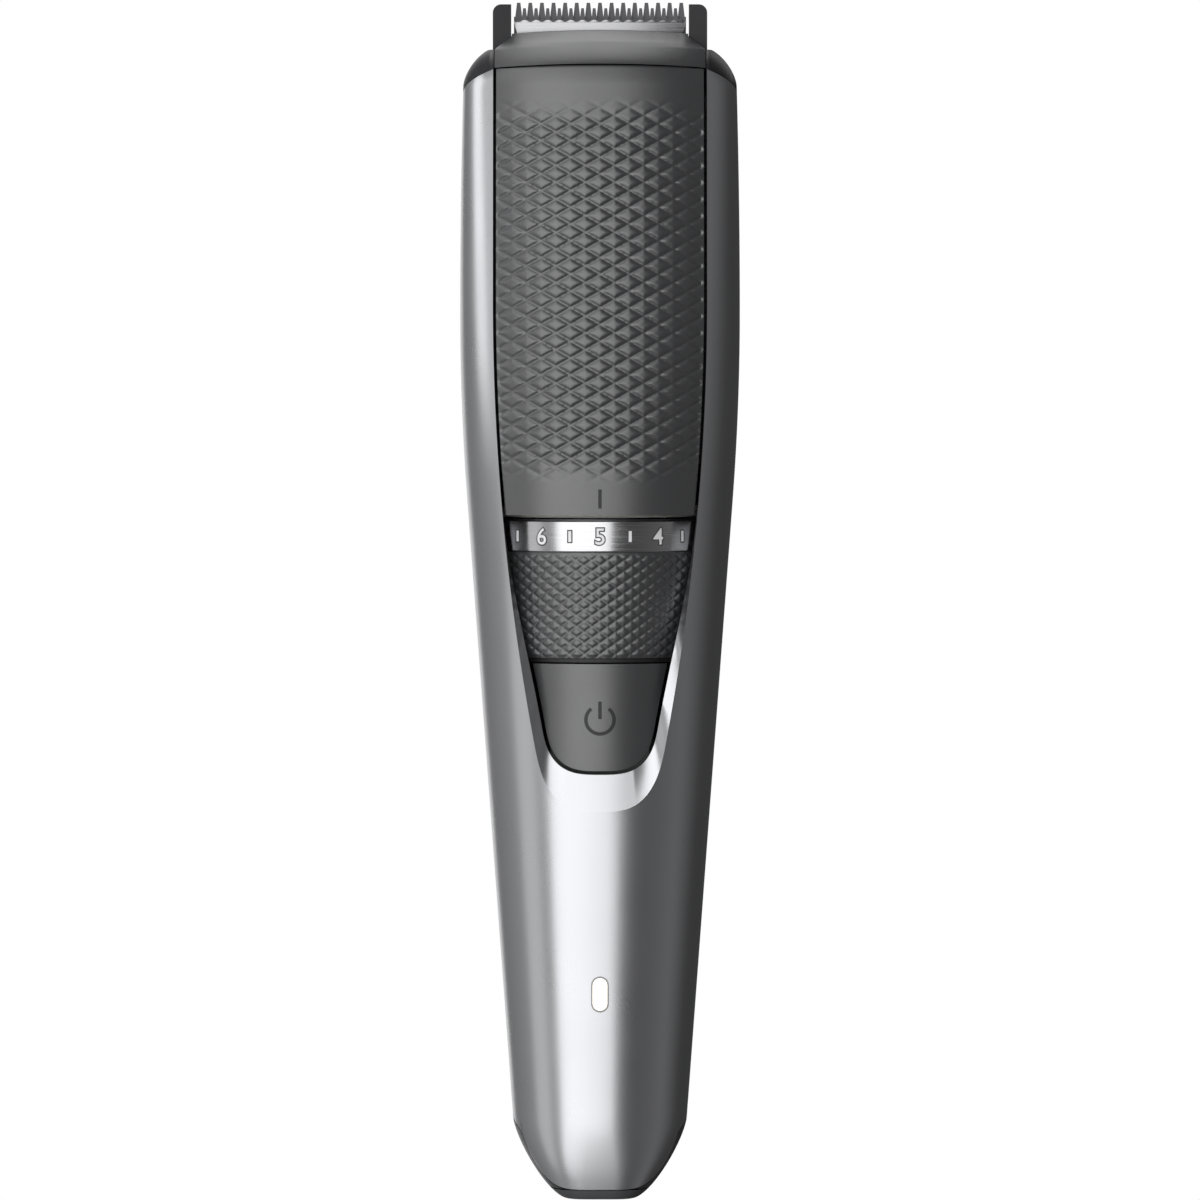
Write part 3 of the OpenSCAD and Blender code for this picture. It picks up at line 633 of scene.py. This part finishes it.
def rear_shell():
    low = [edge_z(u, RIM_H, PART_BEND_Z - RIM_H, ARM_TOP_INNER_Z, PART_POWER)
           for u in np.linspace(0.12, 1, 30)]
    bend = PART_BEND_Z + 9
    high = list(np.linspace(PART_BEND_Z, bend, 24))[1:] + list(np.linspace(bend, ARM_TOP_INNER_Z, 100))[1:]
    rings = []
    for z in low + high:
        start = part_angle_at(z + PART_GAP) + 0.6
        angles = np.linspace(start, 360 - start, 121)
        drop = (ARM_TOP_INNER_Z - ARM_TOP_OUTER_Z) * np.clip((z - 140) / (ARM_TOP_INNER_Z - 140), 0, 1)
        away = np.minimum(angles, 360 - angles) - PART_ANGLE
        levels = z - drop * np.clip(1 - away / REAR_RISE_ANGLE, 0, 1)
        tuck = TOP_TUCK if z == high[-1] else 0
        rings.append(np.concatenate([skin(angles, levels), skin(angles, levels - tuck, WALL)[::-1]]))
    shell = loft("rear_shell_skin", rings)
    finish_mesh(shell, 32, 0.16, 2)
    paint(shell, DARK)
    place(shell, "handle", "dark_shell", "rear_shell")


def base_cap():
    """The foot: from inside the port, round the rim and up the plug that holds it in the shells."""
    angles = (np.arange(144) + 0.5) * 2.5

    sines, cosines = np.sin(np.radians(angles)), np.cos(np.radians(angles))

    def circle(r, z):
        return np.stack([r * sines, -r * cosines, np.full(len(angles), float(z))], -1)

    rings = [circle(SOCKET_R + 0.05, 8), circle(SOCKET_R + 0.05, PORT_DEPTH), circle(PORT_R, PORT_DEPTH),
             circle(PORT_R, 0.25), circle(PORT_R + 0.1, 0.07), circle(PORT_R + 0.25, 0)]
    rings += [mix(circle(PORT_R + 0.25, 0), skin(angles, 0.0), t) for t in (0.4, 0.8, 1)]
    rings += [skin(angles, z) for z in (0.05, 0.15, 0.3, 0.5, 0.75, 1.0, RIM_H - 0.25, RIM_H - 0.1)]
    rings += [skin(angles, z, WALL + 0.4) for z in (RIM_H - 0.1, 4, 8)]
    cap = loft("base_cap_rim", rings + [rings[0]], caps=False)
    weld(cap)
    finish_mesh(cap, 40)
    paint(cap, DARK)
    place(cap, "handle", "dark_shell", "base_cap")


def weld(obj):
    """Joins points that lie on each other, such as a first and a last ring."""
    bm = bmesh.new()
    bm.from_mesh(obj.data)
    bmesh.ops.remove_doubles(bm, verts=bm.verts, dist=1e-6)
    bm.to_mesh(obj.data)
    bm.free()


# ---------------------------------------------------------------- grip panel with its diamond relief
DIAMOND_W = 4.17
DIAMOND_H = 2.37
DIAMOND_RISE = 0.42
DIAMOND_CENTRE_Z = 139.8
DIAMOND_FADE_FOOT = (101.5, 106.0)
DIAMOND_FADE_TOP = (157.0, 152.0)


def diamonds(x, z, width, height):
    """Height from 0 in the grooves to 1 on top of the pillow-shaped lozenges."""
    p = x / width + z / height
    q = x / width - z / height
    from_groove = 1 - 2 * np.maximum(np.abs(p - np.round(p)), np.abs(q - np.round(q)))
    return 1 - (1 - from_groove) ** 3


def grip_panel():
    rows, columns = 420, 150
    front, back = [], []
    for f in np.linspace(0, 1, rows):
        z = mix(PANEL_FOOT_Z, PANEL_TOP_Z, f)
        half = opening_x(z) - PANEL_GAP
        xs = np.linspace(-half, half, columns)
        zs = z - SEAM_SAG * f ** 3 * (xs / OPENING_HALF_W) ** 2
        fade = smooth((zs - DIAMOND_FADE_FOOT[0]) / (DIAMOND_FADE_FOOT[1] - DIAMOND_FADE_FOOT[0]))
        fade = fade * smooth((zs - DIAMOND_FADE_TOP[0]) / (DIAMOND_FADE_TOP[1] - DIAMOND_FADE_TOP[0]))
        fade = fade * smooth((half - np.abs(xs)) / 0.5)
        relief = diamonds(xs, zs - DIAMOND_CENTRE_Z, DIAMOND_W, DIAMOND_H) - 1
        ys = skin_y(xs, zs) + PANEL_INSET - DIAMOND_RISE * fade * relief
        front.append(np.stack([xs, ys, zs], -1))
        back.append(np.stack([xs, skin_y(xs, zs) + PANEL_INSET + PANEL_T, zs], -1))
    picks = np.linspace(0, columns - 1, 16).astype(int)
    n = columns + len(picks)
    rings = [np.concatenate([a, b[picks][::-1]]) for a, b in zip(front, back)]
    panel = loft("grip_panel_relief", rings, caps=False)
    close_ends(panel, len(rings), n)
    finish_mesh(panel, 50)
    paint(panel, GRIP)
    place(panel, "handle", "grip", "grip_panel")


def close_ends(obj, count, n):
    """Fills the first and the last of count rings of n points, each with one polygon."""
    bm = bmesh.new()
    bm.from_mesh(obj.data)
    bm.verts.ensure_lookup_table()
    for base in (0, (count - 1) * n):
        bm.faces.new([bm.verts[base + k] for k in range(n)])
    bm.to_mesh(obj.data)
    bm.free()


INDEX_Z = (98.4, 101.1)
INDEX_HALF_W = 0.25


def ribbon(name, path, width, surface, proud=0.02, deep=0.25):
    """A flat stroke along a path of (x, z) points, laid on a surface y(x, z)."""
    path = np.asarray(path, float)
    along = np.gradient(path, axis=0)
    along /= np.linalg.norm(along, axis=1)[:, None]
    across = np.stack([-along[:, 1], along[:, 0]], -1)
    rings = []
    for p, c in zip(path, across):
        left, right = p - c * width / 2, p + c * width / 2
        left_y, right_y = surface(*left), surface(*right)
        rings.append([(left[0], left_y - proud, left[1]), (right[0], right_y - proud, right[1]),
                      (right[0], right_y + deep, right[1]), (left[0], left_y + deep, left[1])])
    return loft(name, rings)


def index_mark():
    path = [(0, z) for z in np.linspace(*INDEX_Z, 6)]
    mark = ribbon("index_mark", path, 2 * INDEX_HALF_W, lambda x, z: skin_y(x, z) + PANEL_INSET)
    finish_mesh(mark)
    paint(mark, MARK)
    place(mark, "handle", "black_plastic")


# ---------------------------------------------------------------- length wheel
KNURL_CELLS = 44
KNURL_ROW_H = 1.57
KNURL_DEPTH = 0.28


def length_wheel():
    around = np.linspace(0, 360, KNURL_CELLS * 14, endpoint=False)
    sines, cosines = np.sin(np.radians(around)), np.cos(np.radians(around))

    def circle(r, z):
        return np.stack([r * sines, -r * cosines, np.broadcast_to(float(z), r.shape)], -1)

    def plain(r, z):
        return circle(np.full(len(around), float(r)), z)

    rings = [plain(WHEEL_BORE_R, WHEEL_FOOT_Z), plain(WHEEL_FOOT_R - 0.5, WHEEL_FOOT_Z)]
    for z in np.linspace(WHEEL_FOOT_Z + 0.05, KNURL_TOP_Z, 92):
        radius = mix(WHEEL_FOOT_R, WHEEL_R, (z - WHEEL_FOOT_Z) / (KNURL_TOP_Z - WHEEL_FOOT_Z))
        edge = smooth((z - WHEEL_FOOT_Z) / 0.6) * smooth((KNURL_TOP_Z - z) / 0.6)
        relief = diamonds(around / 360 * KNURL_CELLS, z, 1, KNURL_ROW_H)
        rings.append(circle(radius - KNURL_DEPTH * (1 - relief * edge), z))
    rings += [plain(WHEEL_R - 0.2, RING_FOOT_Z - 0.02), plain(RING_SEAT_R, RING_FOOT_Z),
              plain(RING_SEAT_R, WHEEL_TOP_Z), plain(WHEEL_BORE_R, WHEEL_TOP_Z)]
    wheel = loft("length_wheel_knurl", rings + [rings[0]], caps=False)
    weld(wheel)
    finish_mesh(wheel, 50)
    paint(wheel, KNURL)
    place(wheel, "length_wheel", "grip", "length_wheel")


DIGIT_H = 2.3
SMALL_DIGIT_H = 1.7
# Width of the dark rim of painted shadow round each digit and tick
DIGIT_SHADOW_W = 0.2
TICK_W = 0.4
TICK_H = 1.5
TURN_PER_MM = 30.0
LENGTH_SET = 5.0
LENGTHS = [0.5 * k for k in range(1, 21)]


def scale_ring():
    angles = np.linspace(0, 360, 240, endpoint=False)
    sines, cosines = np.sin(np.radians(angles)), np.cos(np.radians(angles))
    soft = 0.18
    profile = [(RING_SEAT_R, RING_FOOT_Z), (WHEEL_R - soft, RING_FOOT_Z)]
    profile += [(WHEEL_R - soft + soft * math.sin(a), RING_FOOT_Z + soft - soft * math.cos(a))
                for a in np.linspace(0.3, math.pi / 2, 5)]
    profile += [(WHEEL_R - soft + soft * math.cos(a), RING_TOP_Z - soft + soft * math.sin(a))
                for a in np.linspace(0, math.pi / 2, 6)]
    profile += [(RING_SEAT_R, RING_TOP_Z)]
    rings = [np.stack([r * sines, -r * cosines, np.full(len(angles), z)], -1) for r, z in profile]
    ring = loft("scale_ring_band", rings + [rings[0]], caps=False)
    weld(ring)
    finish_mesh(ring, 40)
    paint(ring, RING)
    place(ring, "length_wheel", "satin_ring", "scale_ring")


def wrap_on_ring(obj, angle, centre_z, proud):
    """Bends a flat text mesh (x, y, thickness z) round the scale ring, at an angle to the front's right."""
    for v in obj.data.vertices:
        turn = math.radians(angle) + v.co.x / (WHEEL_R * MM)
        radius = WHEEL_R * MM + v.co.z + (proud - 0.05) * MM
        v.co = (radius * math.sin(turn), -radius * math.cos(turn), centre_z * MM + v.co.y)


def text_mesh(name, text, height, swell):
    """A number as a mesh, height high, centred on the origin, 0.1 mm thick and swollen by swell."""
    curve = bpy.data.curves.new(name, "FONT")
    curve.body = text
    curve.size = height * MM / 0.7
    curve.extrude = 0.05 * MM
    curve.offset = swell * MM
    curve.resolution_u = 4
    curve.align_x = "CENTER"
    flat = bpy.data.objects.new(name + "_flat", curve)
    bpy.context.scene.collection.objects.link(flat)
    bpy.context.view_layer.update()
    mesh = bpy.data.meshes.new_from_object(flat.evaluated_get(bpy.context.evaluated_depsgraph_get()))
    bpy.data.objects.remove(flat)
    obj = bpy.data.objects.new(name, mesh)
    bpy.context.scene.collection.objects.link(obj)
    for axis in (0, 1):
        places = [v.co[axis] for v in mesh.vertices]
        middle = (max(places) + min(places)) / 2
        for v in mesh.vertices:
            v.co[axis] -= middle
    return obj


def scale_marks():
    """The whole numbers and, between them, ticks for the half millimetres, each on a darker rim of painted
    shadow.
    """
    centre_z = (RING_FOOT_Z + RING_TOP_Z) / 2
    for length in LENGTHS:
        angle = -(length - LENGTH_SET) * TURN_PER_MM
        # First the dark rim of painted shadow, then the light printed mark on top
        for kind, swell, proud, material in (("edge", DIGIT_SHADOW_W, 0.02, DIGIT_PAINTED_SHADOW), ("mark", 0.02, 0.05, DIGIT)):
            name = "scale_%02d_%s" % (round(length * 10), kind)
            if length == int(length) or length == LENGTHS[0]:
                text = "%g" % length
                mark = text_mesh(name, text, DIGIT_H if len(text) < 3 else SMALL_DIGIT_H, swell)
            else:
                half_w, half_h = TICK_W / 2 + swell, TICK_H / 2 + swell
                mark = block(name, (-half_w, -half_h, -0.05), (half_w, half_h, 0.05))
            wrap_on_ring(mark, angle, centre_z, proud)
            orient_outward(mark)
            paint(mark, material)
            place(mark, "length_wheel", "satin_ring")


# ---------------------------------------------------------------- power button
ICON_R = 2.0
ICON_STROKE = 0.5
ICON_Z = 68.4
ICON_GAP_ANGLE = 38.0


BUTTON_CORNER_H = LIP_CORNER_H - 0.4
BUTTON_COLUMNS = 60


def button_half(z):
    below = np.clip((BUTTON_CORNER_H - (z - BUTTON_FOOT_Z)) / BUTTON_CORNER_H, 0, 1)
    return (lip_x(z) - BUTTON_GAP) * quarter(below, OPENING_POWER)


def power_button():
    rows = [BUTTON_FOOT_Z + BUTTON_CORNER_H * (1 - float(corner_down(u, OPENING_POWER)))
            for u in np.linspace(0.05, 1, 34)]
    rows += list(np.linspace(BUTTON_FOOT_Z + BUTTON_CORNER_H, BUTTON_TOP_Z, 40))[1:]
    rings = []
    for z in rows:
        half = float(button_half(z))
        xs = np.linspace(-half, half, BUTTON_COLUMNS)
        front = np.stack([xs, circle_y(xs, button_r(z)), np.full(BUTTON_COLUMNS, z)], -1)
        back = front[::-1] + (0, BUTTON_T, 0)
        rings.append(np.concatenate([front, back]))
    button = loft("power_button_cap", rings)
    finish_mesh(button, 40, 0.22, 3)
    paint(button, GRIP)
    place(button, "power_button", "grip", "power_button")
    arc = [(ICON_R * math.sin(math.radians(a)), ICON_Z + ICON_R * math.cos(math.radians(a)))
           for a in np.linspace(ICON_GAP_ANGLE, 360 - ICON_GAP_ANGLE, 48)]
    bar = [(0, z) for z in np.linspace(ICON_Z + 0.1, ICON_Z + 2.6, 8)]
    for name, path in (("power_icon_ring", arc), ("power_icon_bar", bar)):
        stroke = ribbon(name, path, ICON_STROKE, lambda x, z: circle_y(x, button_r(z)))
        finish_mesh(stroke)
        paint(stroke, MARK)
        place(stroke, "power_button", "black_plastic")


LENS_HALF_W = 1.02
LENS_HALF_H = 2.3
LED_EDGE_HALF_W = 1.27
LED_EDGE_HALF_H = 2.58
# Share of the outline's size and depth behind the skin, from the back of the lens to the top of its dome
DOME_STEPS = [(1, 2.6), (1, -0.06), (0.97, -0.09), (0.9, -0.12), (0.75, -0.14), (0.4, -0.15), (0.05, -0.155)]


def led_window():
    """A light guide with a domed face, in a thin dull edge."""
    def dome(half_x, half_z, rise, name):
        rings = []
        for scale, out in DOME_STEPS:
            straight = (half_z - half_x) * min(1, scale + 0.1)
            outline = stadium_outline(half_x * scale, half_x * scale + straight)
            back = out if out > 0 else out * rise
            rings.append([(x, float(skin_y(0, LED_Z + z)) + back, LED_Z + z) for x, z in outline])
        return loft(name, rings)
    window = dome(LENS_HALF_W, LENS_HALF_H, 1.0, "led_lens")
    finish_mesh(window, 40)
    paint(window, LIGHT)
    place(window, "handle", "light_window", "led_window")
    edge = dome(LED_EDGE_HALF_W, LED_EDGE_HALF_H, 0.1, "led_edge")
    finish_mesh(edge, 40)
    paint(edge, EDGE)
    place(edge, "handle", "black_plastic")


# ---------------------------------------------------------------- cutter head and shoulders
COVER_CREASE_Z = 164.2
COVER_CREASE_D = 7.0


def cover_depth(z, top_d):
    up = np.clip((z - COVER_FOOT_Z) / (COVER_CREASE_Z - COVER_FOOT_Z), 0, 1)
    low = mix(COVER_DEPTH, COVER_CREASE_D, up ** 1.2)
    high = mix(COVER_CREASE_D, top_d, (z - COVER_CREASE_Z) / (COVER_TOP_Z - COVER_CREASE_Z))
    return np.where(z < COVER_CREASE_Z, low, high)


def head_cover():
    rings = []
    columns = 90
    below_crease = np.linspace(COVER_FOOT_Z, COVER_CREASE_Z, 22)
    above_crease = np.linspace(COVER_CREASE_Z, COVER_TOP_Z - 0.3, 12)[1:]
    for z in np.concatenate([below_crease, above_crease]):
        half = mix(COVER_HALF_W, COVER_TOP_HALF_W, np.clip((z - COVER_BEND_Z) / 1.9, 0, 1))
        arch = float(half_w(161.0)) * half / COVER_HALF_W
        xs = np.linspace(-half, half, columns)
        zs = z + SEAM_SAG * (1 - (xs / half) ** 2)
        shape = quarter(np.abs(xs) / arch, SECTION_POWER)
        front = np.stack([xs, -cover_depth(z, 2.7) * shape, zs], -1)
        back = np.stack([xs, cover_depth(z, 2.3) * shape, zs], -1)[::-1]
        rings.append(np.concatenate([front, back]))
    cover = loft("head_cover_shell", rings)
    orient_outward(cover)
    gap_y = ARM_HALF_Y + 0.25
    cutters = [block("cut_hollow", (-11.9, -7, 158), (11.9, 7, 163)),
               block("cut_blade_slot", (-12.5, -2.1, 162.9), (12.5, 1.1, 168)),
               block("cut_right_arm", (12.5, -gap_y, 158), (16, gap_y, 169)),
               block("cut_left_arm", (-16, -gap_y, 158), (-12.5, gap_y, 169))]
    cut(cover, *cutters)
    finish_mesh(cover, 30, 0.22, 3)
    paint(cover, COVER)
    place(cover, "cutter_head", "grip", "head_cover")


CLAMP_HALF_W = 12.4
CLAMP_FOOT_Z = 165.0
CLAMP_TOP_Z = 167.9
CLAMP_FRONT_Y = -1.5
CLAMP_BACK_Y = -0.45
CLAMP_CROWN = 1.0
CLAMP_SLANT = 0.3
NUB_H = 0.25
NUB_PITCH = 1.66


def blade_clamp():
    """The steel bar in front of the blades, slightly crowned, with a small nub over each tooth gap."""
    rings = []
    for x in np.linspace(-1, 1, 320):
        front = CLAMP_FRONT_Y + CLAMP_CROWN * x * x
        nub = NUB_H * math.sin(math.pi * x * CLAMP_HALF_W / NUB_PITCH) ** 2
        top = CLAMP_TOP_Z - NUB_H + nub * (abs(x) < 0.94)
        flat_top = CLAMP_TOP_Z - NUB_H - 0.15
        profile = [(front, CLAMP_FOOT_Z), (front, flat_top), (front + 0.04, flat_top + 0.1),
                   (front + 0.1, top), (CLAMP_BACK_Y, top), (CLAMP_BACK_Y, CLAMP_FOOT_Z)]
        rings.append([(x * (CLAMP_HALF_W - CLAMP_SLANT * (CLAMP_TOP_Z - z)), y, z) for y, z in profile])
    bar = loft("blade_clamp_bar", rings)
    finish_mesh(bar, 20)
    paint(bar, BLADE)
    place(bar, "cutter_head", "blade_steel", "blade_clamp")


def shoulders():
    """The two black lobes beside the head, and the plate between them that the head plugs into."""
    chord_x, edge, slot_x = 15.1, 0.35, 15.5
    for side, name in ((1, "shoulder_right"), (-1, "shoulder_left")):
        rings = []
        for f in np.linspace(0, 1, 30):
            start = float(skin_angle(chord_x + edge, mix(ARM_TOP_INNER_Z, SHOULDER_TOP, f)))
            angles = np.linspace(start, 180 - start, 61)
            arc = skin(angles, mix(shell_top(angles) + 0.12, SHOULDER_TOP, f))
            chord = arc[::-1].copy()
            chord[:, 0] = np.where(np.abs(chord[:, 1]) < ARM_HALF_Y + 0.2, slot_x, chord_x)
            arc[:, 0] = np.maximum(arc[:, 0], chord[::-1, 0] + 0.02)
            ring = np.concatenate([arc, chord])
            ring[:, 0] *= side
            rings.append(ring)
        lobe = loft(name, rings)
        finish_mesh(lobe, 40, 0.12, 2)
        paint(lobe, BLACK)
        place(lobe, "handle", "black_plastic", "shoulder_collar")
    angles = (np.arange(72) + 0.5) * 5
    outline = skin(angles, 160.6, 2.3)
    plate = loft("collar_plate", [np.c_[outline[:, :2], np.full(72, z)] for z in (157.5, 160.6)])
    cutters = [block("cut_plug", (-10.5, -5.5, 156), (10.5, 5.5, 162)),
               block("cut_right", (12.5, -2.2, 156), (15.5, 2.2, 165)),
               block("cut_left", (-15.5, -2.2, 156), (-12.5, 2.2, 165))]
    cut(plate, *cutters)
    finish_mesh(plate, 30, 0.15, 2)
    paint(plate, BLACK)
    place(plate, "handle", "black_plastic")


# ---------------------------------------------------------------- stage
CAMERA_LENS = 300
CAMERA_SENSOR = 36
CAMERA_ELEVATION = 1.5
# Frame height as a share of the object's height, and how far in metres the aim is below its middle
FRAME_SHARE = 1.008
AIM_DROP = 0.0002
# Degrees to the right of the front, and how bright the studio is in that direction
WORLD_RING = [
    (-180, 0.06), (-140, 0.25), (-90, 0.4), (-40, 0.4), (0, 0.2), (28, 0.08), (62, 0.16), (84, 0.22),
    (120, 0.06), (180, 0.05)]
# name, degrees to the right of the front, degrees up, distance in m, size in m, radiance
SOFTBOXES = [
    ("key", -16.5, 5, 0.9, (0.95, 1.2), 1.85),
    ("left", -74, 5, 0.9, (0.45, 1.2), 0.5),
    ("upper_left", -102, 20, 0.34, (0.12, 0.18), 1.7),
    ("overhead", -35, 54, 0.9, (0.9, 0.5), 1.2),
    ("top_rear", -165, 60, 0.9, (0.6, 0.5), 3.0),
    ("rear_right", 150, 30, 0.9, (0.4, 0.5), 0.8),
    ("rear", -168, 10, 0.9, (0.45, 1.1), 0.9),
]


def stage():
    """The camera, the lights and the white surround."""
    scene = bpy.context.scene
    lo, hi = (Vector(c) for c in cad_box)
    height = hi.z - lo.z

    scene.view_settings.view_transform = "Standard"

    scene.world = studio_world()

    camera = bpy.data.objects.new("camera", bpy.data.cameras.new("camera"))
    scene.collection.objects.link(camera)
    scene.camera = camera
    camera.data.type = "PERSP"
    camera.data.lens = CAMERA_LENS
    camera.data.sensor_width = CAMERA_SENSOR
    frame_height = height * FRAME_SHARE
    distance = frame_height * camera.data.lens / camera.data.sensor_width
    elevation = math.radians(CAMERA_ELEVATION)
    aim = Vector((0, 0, lo.z + height / 2 - AIM_DROP))
    camera.location = aim + distance * Vector((0, -math.cos(elevation), math.sin(elevation)))
    camera.rotation_euler = (aim - camera.location).to_track_quat("-Z", "Y").to_euler()
    camera.data.clip_end = 20

    for name, azimuth, tilt, far, size, radiance in SOFTBOXES:
        light = bpy.data.lights.new(name, "AREA")
        light.shape = "RECTANGLE"
        light.size, light.size_y = size
        light.energy = radiance * math.pi * size[0] * size[1]
        obj = bpy.data.objects.new(name, light)
        scene.collection.objects.link(obj)
        turn, lift = math.radians(azimuth), math.radians(tilt)
        way = Vector((math.sin(turn) * math.cos(lift), -math.cos(turn) * math.cos(lift), math.sin(lift)))
        obj.location = aim + far * way
        obj.rotation_euler = (aim - obj.location).to_track_quat("-Z", "Y").to_euler()


def studio_world():
    """White where the camera sees it. As a light source it is dim, and dimmer to the right."""
    world = bpy.data.worlds.new("studio")
    world.use_nodes = True
    tree = world.node_tree
    way = tree.nodes.new("ShaderNodeTexCoord")
    split = tree.nodes.new("ShaderNodeSeparateXYZ")
    tree.links.new(way.outputs["Generated"], split.inputs["Vector"])
    toward = tree.nodes.new("ShaderNodeMath")
    toward.operation = "MULTIPLY"
    toward.inputs[1].default_value = -1
    tree.links.new(split.outputs["Y"], toward.inputs[0])
    turn = tree.nodes.new("ShaderNodeMath")
    turn.operation = "ARCTAN2"
    tree.links.new(split.outputs["X"], turn.inputs[0])
    tree.links.new(toward.outputs["Value"], turn.inputs[1])
    share = tree.nodes.new("ShaderNodeMapRange")
    share.inputs["From Min"].default_value = -math.pi
    share.inputs["From Max"].default_value = math.pi
    tree.links.new(turn.outputs["Value"], share.inputs["Value"])
    ring = tree.nodes.new("ShaderNodeValToRGB")
    stops = ring.color_ramp.elements
    while len(stops) < len(WORLD_RING):
        stops.new(0.5)
    for stop, (angle, level) in zip(stops, WORLD_RING):
        stop.position = (angle + 180) / 360
        stop.color = (level, level, level, 1)
    tree.links.new(share.outputs["Result"], ring.inputs["Fac"])
    dim = tree.nodes["Background"]
    tree.links.new(ring.outputs["Color"], dim.inputs["Color"])
    seen = tree.nodes.new("ShaderNodeBackground")
    seen.inputs["Color"].default_value = (1, 1, 1, 1)
    path = tree.nodes.new("ShaderNodeLightPath")
    pick = tree.nodes.new("ShaderNodeMixShader")
    tree.links.new(path.outputs["Is Camera Ray"], pick.inputs["Fac"])
    tree.links.new(dim.outputs["Background"], pick.inputs[1])
    tree.links.new(seen.outputs["Background"], pick.inputs[2])
    tree.links.new(pick.outputs["Shader"], tree.nodes["World Output"].inputs["Surface"])
    return world


front_shell()
rear_shell()
base_cap()
grip_panel()
index_mark()
length_wheel()
scale_ring()
scale_marks()
power_button()
led_window()
head_cover()
blade_clamp()
shoulders()
paint_cad_nodes()
stage()
